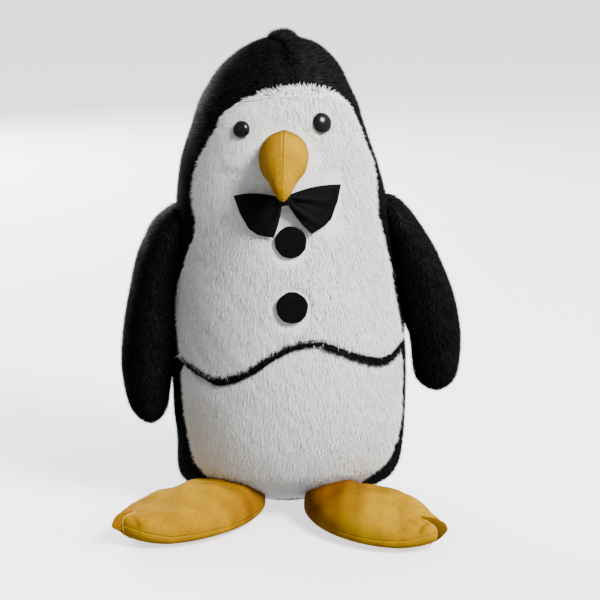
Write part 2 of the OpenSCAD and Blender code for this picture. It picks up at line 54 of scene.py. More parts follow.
# -------- body surface (millimetres)
# The tables give values by height share; HEM gives the strip's height share by angle.
BODY_H, HALF_W, FRONT, BACK, BASE_Y, LEAN, LOW = 373.0, 88.0, 77.0, 76.0, 24.0, 5.0, 0.6
WIDTH = [(0, .42), (.012, .64), (.026, .80), (.042, .90), (.062, .95), (.088, .978), (.12, .99), (.2, 1),
         (.3, 1.005), (.4, .995), (.535, .96), (.63, .932), (.672, .915), (.745, .848), (.812, .752),
         (.866, .676), (.901, .6), (.936, .52), (.954, .458), (.971, .38), (.984, .295), (.993, .2),
         (.998, .105), (1, .03)]
SIDE = [(0, 1), (.012, .85), (.026, .65), (.042, .46), (.062, .27), (.088, .1), (.12, 0), (.2, 0), (1, 0)]
REACH = [(0, -.13), (.012, .10), (.026, .30), (.042, .47), (.062, .63), (.088, .79), (.12, .90),
         (.2, .99), (.3, 1), (.4, .96), (.535, .89), (.63, .83), (.672, .80), (.745, .77), (.812, .72),
         (.866, .65), (.901, .57), (.936, .47), (.954, .40), (.971, .32), (.984, .24), (.993, .155),
         (.998, .075), (1, .025)]
REAR = [(0, .815), (.012, .91), (.026, .96), (.042, .985), (.062, 1), (.088, 1), (.12, 1), (.2, .99),
        (.3, .975), (.4, .95), (.535, .91), (.63, .87), (.672, .84), (.745, .79), (.812, .73),
        (.866, .67), (.901, .60), (.936, .51), (.954, .44), (.971, .35), (.984, .265), (.993, .175),
        (.998, .085), (1, .03)]
LEANS = [(0, .5), (.15, 1), (.33, 1), (.53, .2), (.70, -.8), (.86, -1.1), (1, -.4)]
SEAM_L = [(0, -28), (.05, -33), (.066, -40), (.086, -48), (.105, -54), (.118, -59),
          (.145, -63), (.175, -65.5), (.23, -68), (.32, -69), (.4, -74), (.455, -79.5),
          (.505, -76), (.54, -69), (.575, -63), (.612, -56), (.648, -54), (.682, -57),
          (.718, -58), (.755, -57), (.787, -53), (.822, -46), (.857, -41), (.872, -35),
          (.884, -26), (.893, -13), (.899, 2), (.902, 14)]
SEAM_R = [(0, 26), (.05, 30), (.066, 36), (.086, 42), (.105, 49), (.118, 55), (.145, 60), (.175, 65),
          (.23, 68), (.32, 69), (.4, 71), (.455, 70), (.505, 68), (.54, 67), (.575, 63), (.612, 60),
          (.648, 58), (.682, 60), (.718, 66), (.755, 69), (.787, 66), (.822, 66), (.857, 61),
          (.872, 57), (.884, 50), (.893, 40), (.899, 28), (.902, 18)]
HEM = [(-90, .350), (-75, .336), (-58, .316), (-44, .304), (-26, .331), (-10, .372), (3, .391), (15, .388),
       (30, .362), (43, .345), (54, .343), (66, .356), (78, .372), (90, .378)]
# how far the black sides swell out beyond the width, in millimetres
SWELL_L = [(0, 4.0), (.06, 4.5), (.14, 3.4), (.21, 6.0), (.28, 6.5), (.4, 5.0), (.47, 2.5), (.55, 0),
           (.6, 0), (1, 0)]
SWELL_R = [(0, 1.5), (.1, 2.0), (.2, 1.6), (.3, 2.2), (.42, 1.4), (.5, 0), (.6, 0), (1, 0)]
ARCH = 0.902                   # height share where the white face ends
HEM_L, HEM_R = -71.5, 69.5     # angles at which the strip meets the side seams


def curve(table):
    """Smooth reading of a station table: cubic between stations."""
    t = np.array(table, float)
    x, y = t[:, 0], t[:, 1]
    m = np.empty_like(y)
    m[1:-1] = (y[2:] - y[:-2]) / (x[2:] - x[:-2])
    m[0], m[-1] = (y[1] - y[0]) / (x[1] - x[0]), (y[-1] - y[-2]) / (x[-1] - x[-2])

    def read(k):
        k = np.clip(np.asarray(k, float), x[0], x[-1])
        i = np.clip(np.searchsorted(x, k, side="right") - 1, 0, len(x) - 2)
        h = x[i + 1] - x[i]
        u = (k - x[i]) / h
        return ((2 * u**3 - 3 * u**2 + 1) * y[i] + (u**3 - 2 * u**2 + u) * h * m[i]
                + (3 * u**2 - 2 * u**3) * y[i + 1] + (u**3 - u**2) * h * m[i + 1])
    return read


c_width, c_side, c_reach, c_rear, c_lean = curve(WIDTH), curve(SIDE), curve(REACH), curve(REAR), curve(LEANS)
seam_l, seam_r, hem = curve(SEAM_L), curve(SEAM_R), curve(HEM)
swell_l, swell_r = curve(SWELL_L), curve(SWELL_R)


def lumps(x, y, z, size, seed=0.0):
    """Slow, even wobble of about -1 to 1 over space."""
    k = 2 * math.pi / size
    return (np.sin(k * (x * 0.9 + z * 0.5) + seed) + np.sin(k * (y * 1.1 - z * 0.7) + 1.7 * seed + 1)
            + np.sin(k * (z * 0.8 + x * 0.6 - y * 0.4) * 1.6 + 2.3 * seed)) / 3


def body_raw(s, a, off=0.0):
    """Plain body: s is the height share, a the angle from the front in degrees, towards +X."""
    s, a = np.broadcast_arrays(np.asarray(s, float), np.asarray(a, float))
    r = np.radians(a)
    w = np.maximum(HALF_W * c_width(s) - off, 0.6)
    yc = BASE_Y * c_side(s)
    df = np.maximum(FRONT * c_reach(s) + yc - off, 0.6)
    db = np.maximum(BACK * c_rear(s) - yc - off, 0.6)
    z = LOW + s * (BODY_H - LOW) + off * (1 - 2 * s)
    c, q = np.cos(r), np.sin(r)
    w = w + np.where(q < 0, swell_l(s), swell_r(s)) * q**6
    return np.stack([LEAN * c_lean(s) + w * q, yc - np.where(c > 0, df, db) * c, z], -1)


def seam_dip(s, a):
    """Depth of the valley pulled in by the seams."""
    w = HALF_W * np.maximum(c_width(s), 0.1)
    d = np.zeros(np.broadcast(s, a).shape)
    for e in (seam_l(np.minimum(s, ARCH)), seam_r(np.minimum(s, ARCH))):
        d = d + np.where(s < ARCH, 1.3 * np.exp(-(((a - e) * w / PER_RAD) / 5.0) ** 2), 0)
    back = np.abs(np.abs(a) - 180) * w / PER_RAD
    d = d + 1.6 * np.exp(-(back / 5.0) ** 2) * (s > 0.02)
    crown = np.abs(a - 8) * w / PER_RAD
    d = d + np.where(s > ARCH, 3.0 * np.exp(-(crown / 7.5) ** 2) * np.clip((s - ARCH) / 0.02, 0, 1), 0)
    strip_off = (s - hem(np.clip(a, -90, 90))) * BODY_H
    d = d + np.where(np.abs(a) < 86, 2.2 * np.exp(-(strip_off / 5.5) ** 2), 0)
    return d


def body_at(s, a, off=0.0):
    """Body with its slow lumps and the valleys of its seams."""
    p = body_raw(s, a, off)
    n = body_normal(s, a)
    d = lumps(p[..., 0], p[..., 1], p[..., 2], 95.0, 0.6) * 1.2
    d = d - seam_dip(np.asarray(s, float), np.asarray(a, float))
    return p + n * d[..., None]


def body_normal(s, a):
    s = np.clip(np.asarray(s, float), 0.002, 0.998)
    a = np.asarray(a, float)
    ds = body_raw(s + 0.0015, a) - body_raw(s - 0.0015, a)
    da = body_raw(s, a + 0.5) - body_raw(s, a - 0.5)
    n = np.cross(da, ds)
    return n / np.linalg.norm(n, axis=-1, keepdims=True)


# -------- mesh helpers
def unit(v):
    return v / np.maximum(np.linalg.norm(v, axis=-1, keepdims=True), 1e-9)


def mesh_piece(name, verts, faces, mats, index=None, normals=None):
    """Object from vertices in millimetres and equal-sided faces."""
    faces = np.asarray(faces, np.int32)
    me = bpy.data.meshes.new(name)
    nv, (nf, k) = len(verts), faces.shape
    me.vertices.add(nv)
    me.vertices.foreach_set("co", (np.asarray(verts, float) * MM).astype(np.float32).ravel())
    me.loops.add(nf * k)
    me.loops.foreach_set("vertex_index", faces.ravel())
    me.polygons.add(nf)
    me.polygons.foreach_set("loop_start", np.arange(0, nf * k, k, dtype=np.int32))
    me.polygons.foreach_set("loop_total", np.full(nf, k, np.int32))
    if index is not None:
        me.polygons.foreach_set("material_index", np.asarray(index, np.int32))
    for m in mats:
        me.materials.append(m)
    me.update(calc_edges=True)
    me.polygons.foreach_set("use_smooth", np.full(nf, True))
    me.validate()
    if normals is not None:
        me.normals_split_custom_set_from_vertices(np.asarray(normals, float).tolist())
    o = bpy.data.objects.new(name, me)
    bpy.context.scene.collection.objects.link(o)
    return o


def set_shade(o, values):
    """How far each vertex is darkened, for the cloth shader."""
    at = o.data.attributes.new("shade", "FLOAT", "POINT")
    at.data.foreach_set("value", np.asarray(values, np.float32))


def grid_faces(n, m, closed=False, start=0, flip=False):
    i = np.arange(n - 1)[:, None]
    j = np.arange(m if closed else m - 1)[None, :]
    j2 = (j + 1) % m
    f = np.stack([i * m + j, i * m + j2, (i + 1) * m + j2, (i + 1) * m + j], -1).reshape(-1, 4) + start
    return f[:, ::-1] if flip else f


def slab_mesh(outer, inner, flip=False):
    """Closed skin from two n x m grids of points."""
    n, m = outer.shape[:2]
    k = n * m
    rows = np.arange(n - 1)
    cols = np.arange(m - 1)
    last = (n - 1) * m + cols
    near_side = rows * m
    far_side = rows * m + m - 1
    rim = [np.stack([cols, k + cols, k + cols + 1, cols + 1], -1),
           np.stack([last, last + 1, k + last + 1, k + last], -1),
           np.stack([near_side, near_side + m, k + near_side + m, k + near_side], -1),
           np.stack([far_side, k + far_side, k + far_side + m, far_side + m], -1)]
    f = np.vstack([grid_faces(n, m), grid_faces(n, m, start=k, flip=True)] + rim)
    v = np.concatenate([outer.reshape(-1, 3), inner.reshape(-1, 3)])
    return v, (f[:, ::-1] if flip else f)


def spikes(root, normal, comb, length, width, lift0, lift1, bent):
    """Closed tapered tufts that leave the skin at lift0 degrees and end at lift1.

    Gives vertices, triangles, shading normals and the number of triangles in a tuft.
    """
    n = len(root)
    l0, l1 = np.radians(lift0)[:, None], np.radians(lift1)[:, None]
    d0 = comb * np.cos(l0) + normal * np.sin(l0)
    d1 = comb * np.cos(l1) + normal * np.sin(l1)
    side = unit(np.cross(comb, normal))
    up = unit(np.cross(side, comb))
    base = root - normal * 0.6
    w = width[:, None]
    if bent:
        mid = root + d0 * (length * 0.45)[:, None]
        tip = mid + d1 * (length * 0.55)[:, None]
        v = np.stack([base + side * w * 0.5, base - side * w * 0.5, base + up * w * 0.45,
                      mid + side * w * 0.42, mid - side * w * 0.42, mid + up * w * 0.34, tip], 1)
        f = np.array([[0, 1, 4], [0, 4, 3], [1, 2, 5], [1, 5, 4], [2, 0, 3], [2, 3, 5],
                      [3, 4, 6], [4, 5, 6], [5, 3, 6], [0, 2, 1]])
    else:
        tip = root + unit(d0 + d1) * length[:, None]
        v = np.stack([base + side * w * 0.5, base - side * w * 0.5, base + up * w * 0.5, tip], 1)
        f = np.array([[0, 1, 3], [1, 2, 3], [2, 0, 3], [0, 2, 1]])
    k = v.shape[1]
    faces = (f[None] + (np.arange(n) * k)[:, None, None]).reshape(-1, 3)
    spread = np.zeros((n, k, 3))
    for corner in (0, 3) if bent else (0,):
        spread[:, corner] = side * 0.5
        spread[:, corner + 1] = -side * 0.5
    shading = unit(np.repeat(unit(normal)[:, None], k, 1) + spread)
    return v.reshape(-1, 3), faces, shading.reshape(-1, 3), len(f)


def quasi(n, seed):
    """Evenly spread points in the unit square, by steps of the plastic number."""
    g = 1.32471795724474602596
    i = np.arange(1, n + 1)
    o = np.random.default_rng(seed).random(2)
    return np.stack([(o[0] + i / g) % 1, (o[1] + i / g**2) % 1], -1)


def spread_over(fn, u0, u1, v0, v1, seed, nu, nv):
    """Points of a surface fn(u, v), spread evenly over its area for the pile."""
    U, V = np.meshgrid(np.linspace(u0, u1, nu), np.linspace(v0, v1, nv), indexing="ij")
    P = fn(U, V)
    du, dv = P[1:, :-1] - P[:-1, :-1], P[:-1, 1:] - P[:-1, :-1]
    area = np.linalg.norm(np.cross(du, dv), axis=-1)
    total = area.sum()
    n = int(total * PILE_DENSITY * FUR)
    q = quasi(n, seed)
    rowsum = np.concatenate([[0], np.cumsum(area.sum(1))]) / total
    u = np.interp(q[:, 0], rowsum, np.linspace(0, nu - 1, nu))
    i = np.clip(u.astype(int), 0, nu - 2)
    cdf = np.concatenate([np.zeros((nu - 1, 1)), np.cumsum(area, 1)], 1)
    cdf /= cdf[:, -1:]
    v = np.empty(n)
    for k in range(nu - 1):
        sel = np.nonzero(i == k)[0]
        if len(sel):
            v[sel] = np.interp(q[sel, 1], cdf[k], np.arange(nv))
    return u0 + (u1 - u0) * u / (nu - 1), v0 + (v1 - v0) * v / (nv - 1)


# -------- materials
def put(node, values):
    """Sets inputs of a node by their labels."""
    for label, value in values.items():
        node.inputs[label].default_value = value
    return node


def principled(name, colour, rough, sheen=0.0, spec=0.3):
    m = bpy.data.materials.new(name)
    m.use_nodes = True
    put(m.node_tree.nodes["Principled BSDF"],
        {"Base Color": (*colour, 1), "Roughness": rough, "Specular IOR Level": spec, "Sheen Weight": sheen})
    return m


def cloth(name, dark, light, scale, rough, bump, patch):
    """Woven cloth: fine weave in the bump, slow colour change over the piece, and the shade attribute."""
    m = principled(name, light, rough, 0.0, 0.05)
    t = m.node_tree
    b = t.nodes["Principled BSDF"]
    link = t.links.new
    place = t.nodes.new("ShaderNodeTexCoord").outputs["Object"]
    noise = put(t.nodes.new("ShaderNodeTexNoise"), {"Scale": patch, "Detail": 6.0, "Roughness": 0.6})
    link(place, noise.inputs["Vector"])
    fine = put(t.nodes.new("ShaderNodeTexNoise"), {"Scale": scale * 0.5, "Detail": 3.0})
    link(place, fine.inputs["Vector"])
    mix = t.nodes.new("ShaderNodeMix")
    mix.data_type = "FLOAT"
    mix.inputs[0].default_value = 0.35
    link(noise.outputs["Fac"], mix.inputs[2])
    link(fine.outputs["Fac"], mix.inputs[3])
    ramp = t.nodes.new("ShaderNodeValToRGB")
    for stop, at, colour in zip(ramp.color_ramp.elements, (0.32, 0.62), (dark, light)):
        stop.position = at
        stop.color = (*colour, 1)
    link(mix.outputs[0], ramp.inputs["Fac"])
    shade = t.nodes.new("ShaderNodeAttribute")
    shade.attribute_name = "shade"
    tint = t.nodes.new("ShaderNodeMix")
    tint.data_type = "RGBA"
    link(shade.outputs["Fac"], tint.inputs[0])
    link(ramp.outputs["Color"], tint.inputs[6])
    # the shade attribute darkens the cloth towards this brown; on the beak and the feet most of that
    # darkening is painted shade
    tint.inputs[7].default_value = (dark[0] * 0.55, dark[1] * 0.42, dark[2], 1)
    link(tint.outputs[2], b.inputs["Base Color"])
    weave = t.nodes.new("ShaderNodeMath")
    for socket, direction in enumerate(("DIAGONAL", "X")):
        wave = put(t.nodes.new("ShaderNodeTexWave"), {"Scale": scale})
        wave.bands_direction = direction
        link(place, wave.inputs["Vector"])
        link(wave.outputs["Fac"], weave.inputs[socket])
    relief = t.nodes.new("ShaderNodeMath")
    link(weave.outputs[0], relief.inputs[0])
    link(fine.outputs["Fac"], relief.inputs[1])
    raised = put(t.nodes.new("ShaderNodeBump"), {"Strength": bump, "Distance": 0.0004})
    link(relief.outputs[0], raised.inputs["Height"])
    link(raised.outputs["Normal"], b.inputs["Normal"])
    return m


WHITE = [principled("white_pile_a", (0.87, 0.87, 0.845), 0.9, 0.05, 0.08),
         principled("white_pile_b", (0.77, 0.765, 0.735), 0.9, 0.05, 0.08),
         principled("white_pile_c", (0.93, 0.93, 0.915), 0.9, 0.05, 0.08)]
BLACK = [principled("black_pile_a", (0.0024, 0.0025, 0.0024), 0.7, 0.0, 0.06),
         principled("black_pile_b", (0.0068, 0.0070, 0.0068), 0.6, 0.0, 0.12),
         principled("black_pile_c", (0.0010, 0.0010, 0.0010), 0.8, 0.0, 0.03)]
white_base = principled("white_backing", (0.80, 0.79, 0.765), 0.95, 0.0, 0.05)
black_base = principled("black_backing", (0.0015, 0.0015, 0.0015), 0.95, 0.0, 0.03)
yellow = cloth("yellow_cloth", (0.26, 0.112, 0.0), (0.43, 0.236, 0.0), 900.0, 0.85, 0.4, 22.0)
bow_cloth = cloth("bow_cloth", (0.0018, 0.0018, 0.0016), (0.0052, 0.0053, 0.0050), 1300.0, 0.85, 0.3, 40.0)
felt = cloth("black_felt", (0.0020, 0.0020, 0.0018), (0.0045, 0.0045, 0.0042), 1500.0, 0.95, 0.6, 300.0)
eye_gloss = principled("eye_gloss", (0.002, 0.002, 0.002), 0.2, 0.0, 0.3)
thread = principled("yellow_thread", (0.58, 0.40, 0.06), 0.7, 0.0, 0.2)
fibre = principled("fibre_fill", (0.88, 0.88, 0.86), 0.95)
plastic = principled("washer_plastic", (0.8, 0.8, 0.77), 0.4)


def body_inside(p, grow):
    """Positive where a point lies inside the body grown by grow."""
    s = np.clip((p[..., 2] - LOW) / (BODY_H - LOW), 0, 1)
    w = HALF_W * c_width(s) + grow
    yc = BASE_Y * c_side(s)
    df = FRONT * c_reach(s) + yc + grow
    db = BACK * c_rear(s) - yc + grow
    x = (p[..., 0] - LEAN * c_lean(s)) / w
    y = (p[..., 1] - yc)
    y = np.where(y < 0, y / np.maximum(df, 1), y / np.maximum(db, 1))
    return 1 - np.sqrt(x * x + y * y)


def capped(rings):
    """Closed tube through rings of points: vertices and triangles."""
    n, m = len(rings), len(rings[0])
    q = grid_faces(n, m, closed=True)
    j = np.arange(m)
    last = (n - 1) * m
    tri = np.vstack([q[:, [0, 1, 2]], q[:, [0, 2, 3]],
                     np.stack([np.full(m, n * m), (j + 1) % m, j], -1),
                     np.stack([np.full(m, n * m + 1), last + j, last + (j + 1) % m], -1)])
    ends = [rings[0].mean(0, keepdims=True), rings[-1].mean(0, keepdims=True)]
    return np.concatenate(list(rings) + ends), tri


def filling(name, rings, node, flip=False):
    """Closed fibre filling from rings of points, first ring to last."""
    v, tri = capped(rings)
    o = mesh_piece(name, v, tri[:, ::-1] if flip else tri, [fibre])
    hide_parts(node)
    return o


# -------- body skins
def black_edge(s, side):
    """Angle of a black panel's front edge: the side seam, then the seam over the crown."""
    e = (seam_l if side < 0 else seam_r)(np.minimum(s, ARCH))
    u = np.clip((s - ARCH) / (0.93 - ARCH), 0, 1)
    return np.where(s <= ARCH, e, e * (1 - u) + 6 * u)


def spaced(n):
    """Height shares, closer together at the base and the crown."""
    u = np.linspace(0, 1, n)
    return u - 0.13 * np.sin(2 * np.pi * u) / np.pi


def back_skin(name, side, node):
    S = spaced(130)[:, None] * np.ones((1, 60))
    t = np.linspace(0, 1, 60)[None]
    e = black_edge(S, side)
    A = side * 180 + (e - side * 180) * t
    v, f = slab_mesh(body_at(S, A, 0.4), body_at(S, A, 2.6), flip=side < 0)
    o = mesh_piece(name, v, f, [black_base])
    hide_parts(node)
    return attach(o, "torso")


def white_skin(name, lo, hi, n, node):
    m = 90
    t = np.linspace(0, 1, m)[None]
    u = np.linspace(0, 1, n)[:, None]
    s0, s1 = lo(t), hi(t)
    S = s0 + (s1 - s0) * u
    A = seam_l(S) + (seam_r(S) - seam_l(S)) * t
    v, f = slab_mesh(body_at(S, A, 0.2), body_at(S, A, 2.4))
    o = mesh_piece(name, v, f, [white_base])
    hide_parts(node)
    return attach(o, "torso")


def hem_line(t):
    """Height share of the strip, t running from the left seam to the right."""
    return hem(HEM_L + (HEM_R - HEM_L) * t)


back_skin("skin_back_left", -1, "back_panel_left")
back_skin("skin_back_right", 1, "back_panel_right")
white_skin("skin_chest", hem_line, lambda t: np.full_like(t, ARCH - 0.001), 110, "chest_panel")
white_skin("skin_belly", np.zeros_like, hem_line, 80, "belly_panel")

deep = [body_raw(np.full(48, k), np.linspace(0, 360, 48, endpoint=False), 7.5) for k in spaced(50)]
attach(filling("body_fill", deep, "body_stuffing"), "torso")


# -------- places of the small parts
def on_body(s, a, lift=0.0):
    """Point lift millimetres over the body, and the normal there."""
    p = body_at(np.array([s]), np.array([float(a)]))[0]
    n = body_normal(np.array([s]), np.array([float(a)]))[0]
    return p + n * lift, n


# height share, angle and, for an eye, radius
EYES = {"left": (0.825, -27.0, 6.5), "right": (0.836, 27.3, 7.9)}
DISCS = {"upper": (0.602, 0.5), "lower": (0.4705, -1.5)}
BEAK_S, BEAK_A = 0.776, -0.5
BOW_S, BOW_A = 0.6850, -1.0
beak_c = on_body(BEAK_S, BEAK_A)[0]
bow_c = on_body(BOW_S, BOW_A)[0]


def stood_on(v, p, normal):
    """Local vertices with z out along the normal, moved to p."""
    x_dir = unit(np.cross([0, 0, 1.0], normal))
    return v @ np.stack([x_dir, np.cross(normal, x_dir), normal]) + p


def near(P, s, a):
    """Distance of points from a place on the body."""
    return np.linalg.norm(P - on_body(s, a)[0], axis=1)


# -------- pile over the body
def tangents(s, a):
    """Normal, then unit directions along the surface: down the body, and towards +X of the front."""
    n = body_normal(s, a)
    ds = body_raw(np.clip(s + 0.002, 0, 1), a) - body_raw(np.clip(s - 0.002, 0, 1), a)
    down = -unit(ds)
    side = unit(np.cross(n, down))
    return n, down, side


def lay_pile(prefix, P, N, comb, length, width, mats, tone, l0, l1, bent, blend=None):
    """Pile tufts as closed pieces, split so that none holds too many faces.

    They ride on the torso; when blend is given they stay where they are made, and what blend holds is not
    used.
    """
    count = max(1, math.ceil(len(P) * (10 if bent else 4) / MAX_FACES))
    order = np.argsort(P[:, 2], kind="stable")
    for i, ix in enumerate(np.array_split(order, count)):
        v, f, nn, k = spikes(P[ix], N[ix], comb[ix], length[ix], width[ix], l0[ix], l1[ix], bent)
        v[:, 2] = np.maximum(v[:, 2], FLOOR_GAP)
        o = mesh_piece(f"{prefix}_{i + 1}", v, f, mats, np.repeat(tone[ix], k), nn)
        if blend:
            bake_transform(o)
        else:
            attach(o, "torso")


S, A = spread_over(body_raw, 0.004, 0.9985, -180, 180, 5, 240, 200)
P = body_at(S, A, 0.2)
N, down, side = tangents(S, A)
# distances in millimetres: to the side seams, to the arch over the face, to the strip
per_degree = HALF_W * np.maximum(c_width(S), 0.05) / PER_RAD
dl = (A - seam_l(np.minimum(S, ARCH))) * per_degree
dr = (seam_r(np.minimum(S, ARCH)) - A) * per_degree
top = (ARCH - S) * BODY_H
inside = np.minimum(np.minimum(dl, dr), top)
is_white = (inside > 0) & (S < ARCH)
hem_d = (S - hem(np.clip(A, -90, 90))) * BODY_H
on_hem = is_white & (np.abs(hem_d) < 1.7)
rnd = RNG.random((len(S), 6))
wob = lumps(P[:, 0], P[:, 1], P[:, 2], 34.0, 3.0)
wob2 = lumps(P[:, 0], P[:, 1], P[:, 2], 15.0, 1.1)

# white pile: combed down, parting round the beak and eyes, spilling over the seams
keep = is_white & ~on_hem
for eye_s, eye_a, eye_r in EYES.values():
    keep &= near(P, eye_s, eye_a) > eye_r - 0.8
keep &= near(P, BEAK_S, BEAK_A) > 15.5
w = np.nonzero(keep)[0]      # which tufts are white
edge_w = np.clip(1.25 - np.minimum(dl, dr)[w] / 9.0, 0, 1) * (0.5 + 0.7 * rnd[w, 4])
out = edge_w * np.where(dl[w] < dr[w], -1, 1)
up_arch = np.clip(1.2 - top[w] / 8.0, 0, 1) * (0.55 + 0.6 * rnd[w, 5])
turn = 0.30 * wob[w] + 0.22 * wob2[w] + (rnd[w, 0] - 0.5) * 0.55
face = np.clip((S[w] - 0.66) / 0.10, 0, 1) * np.clip((0.90 - S[w]) / 0.03, 0, 1)
rel = P[w] - beak_c
away = rel - N[w] * np.sum(rel * N[w], 1, keepdims=True)
away_d = np.linalg.norm(away, axis=1)
away = unit(away)
pull = (np.clip(1 - away_d / 60.0, 0, 1) * 0.45 * face)[:, None]
comb = unit(down[w] * (1 - 0.9 * up_arch)[:, None] + side[w] * (turn + 1.25 * out)[:, None]
            - down[w] * (0.85 * up_arch + 0.30 * edge_w * (S[w] > 0.66))[:, None] + away * pull)
length = 7.6 + 1.6 * (rnd[w, 1] - 0.5) * 2
length *= 1 - 0.15 * np.clip(1 - np.abs(inside[w]) / 3.0, 0, 1)
over = hem_d[w] - 1.1
cut = (over > 0) & (over < length) & (rnd[w, 5] > 0.03)
length = np.where(cut, np.maximum(over / np.maximum(-np.sum(comb * -down[w], 1), 0.3) * 1.02, 2.4), length)
l0 = 38 + 16 * (rnd[w, 2] - 0.5) * 2 + 6 * wob2[w] + 8 * np.clip(edge_w, 0, 1)
l1 = 12 + 14 * (rnd[w, 3] - 0.5) * 2
# how far tufts are pressed flat by the discs, the bow and the beak
press = np.zeros(len(w))
for disc in DISCS.values():
    d = np.minimum(near(P[w] + comb * 6.0, *disc), near(P[w], *disc))
    press = np.maximum(press, np.clip((18.0 - d) / 5.5, 0, 1))
to_bow = P[w] + comb * 4.0 - bow_c
tie = np.clip((50 - np.abs(to_bow[:, 0])) / 9, 0, 1) * np.clip((30 - np.abs(to_bow[:, 2] + 1)) / 9, 0, 1)
press = np.maximum(press, tie)
press = np.maximum(press, np.clip((36 - np.linalg.norm(P[w] - beak_c, axis=1)) / 13, 0, 1))
press = press * press * (3 - 2 * press)
l0 = l0 * (1 - press) + (12 + 5 * rnd[w, 2]) * press
l1 = l1 * (1 - press) + (2.0 + 4 * rnd[w, 3]) * press
length = length * (1 - 0.2 * press)
tone = np.where(rnd[w, 4] < 0.5, 0, np.where(rnd[w, 4] < 0.75, 1, 2))
low_part = hem_d[w] < 0
for nm, sel in (("pile_belly", low_part), ("pile_chest", ~low_part)):
    lay_pile(nm, P[w][sel], N[w][sel], comb[sel], length[sel], (0.50 + 0.25 * rnd[w, 5])[sel], WHITE,
             tone[sel], l0[sel], l1[sel], True)

# black pile: short, swept sideways from the middle seam on the head, down on the back
b = np.nonzero(~is_white & (S > 0.012))[0]      # which tufts are black
headw = np.clip((S[b] - 0.70) / 0.12, 0, 1)
sgn = np.clip((A[b] - 7) / 14.0, -1, 1)
sgn = np.where(np.abs(A[b]) > 165, 0, sgn)
turn = 0.25 * wob[b] + (rnd[b, 0] - 0.5) * 0.8
edge = np.clip(1 + inside[b] / 5.0, 0, 1) * (S[b] < ARCH)
lean_in = -0.9 * edge * np.sign(A[b]) * (rnd[b, 5] > 0.4)
across = turn + 0.85 * headw * sgn + lean_in
comb = unit(down[b] * (1 - 0.45 * headw)[:, None] + side[b] * across[:, None])
length = (4.8 + 1.4 * (rnd[b, 1] - 0.5) * 2) * (1 - 0.25 * edge)
l0 = 44 + 22 * (rnd[b, 2] - 0.5) * 2
l1 = 26 + 20 * (rnd[b, 3] - 0.5) * 2
tone = np.where(rnd[b, 4] < 0.5, 0, np.where(rnd[b, 4] < 0.8, 1, 2))
for nm, sel in (("pile_back_left", A[b] < 0), ("pile_back_right", A[b] >= 0)):
    lay_pile(nm, P[b][sel], N[b][sel], comb[sel], length[sel], (0.55 + 0.3 * rnd[b, 5])[sel], BLACK,
             tone[sel], l0[sel], l1[sel], False)

# -------- hem strip
m = 260
t = np.linspace(0, 1, m)[None]
rows = np.linspace(-1, 1, 7)[:, None]
ang_h = HEM_L + (HEM_R - HEM_L) * t
wide = 1.5 + 0.9 * np.exp(-((ang_h - 46) / 16) ** 2) + 0.35 * np.exp(-((ang_h + 46) / 12) ** 2)
wide = wide + 0.25 * np.sin(ang_h * 0.5) + 0.18 * np.sin(ang_h * 1.3 + 1)
Sh = hem(ang_h) + rows * wide / BODY_H
Ah = seam_l(Sh) + (seam_r(Sh) - seam_l(Sh)) * t
height = 1.0 + (1.9 + wide) * np.sqrt(np.clip(1 - rows**2, 0, 1))
outer = body_at(Sh, Ah) + body_normal(Sh, Ah) * height[..., None]
v, f = slab_mesh(outer, body_at(Sh, Ah, 1.5))
strip = mesh_piece("hem_cord", v, f, [black_base])
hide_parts("hem_strip")
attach(strip, "torso")
n = int(12000 * FUR)
q = quasi(n, 77)
th = q[:, 0]
ang_x = HEM_L + (HEM_R - HEM_L) * th
Sx = hem(ang_x) + (q[:, 1] - 0.5) * 2 * np.interp(ang_x, ang_h[0], wide[0]) / BODY_H
Ax = seam_l(Sx) + (seam_r(Sx) - seam_l(Sx)) * th
Ph = body_at(Sx, Ax)
Nh, dh, sh = tangents(Sx, Ax)
Ph = Ph + Nh * 2.9
r = RNG.random((n, 4))
# more than half of the tufts are long; left of the middle those are combed up
long = r[:, 3] > 0.45
rise = np.where(ang_x < 14, -1.0, 0.5) * long
comb = unit(dh * (rise[:, None] + (r[:, :1] - 0.5) * 0.9) + sh * (r[:, 1:2] - 0.5) * 1.5)
tuft = np.clip(0.45 + 0.9 * np.sin(ang_x * 2.3) * np.sin(ang_x * 1.3 + 1), 0, 1) * long
length = 2.2 + (2.4 + 3.2 * tuft) * r[:, 2] * long
lay_pile("hem_pile", Ph, Nh, comb, length, 0.45 + 0.4 * r[:, 3], BLACK, (r[:, 0] * 2.99).astype(int),
         30 + 30 * r[:, 1], 10 + 20 * r[:, 3], False)

# -------- base panel, crown knot
def lathe(profile, centre, m):
    """Profile of (radius, height) turned about an upright axis."""
    p = np.array(profile, float)
    a = np.linspace(0, 2 * np.pi, m, endpoint=False)
    v = np.stack([p[:, :1] * np.cos(a), p[:, :1] * np.sin(a), p[:, 1:2] * np.ones(m)], -1)
    return (v + np.array(centre)).reshape(-1, 3), grid_faces(len(p), m, closed=True)


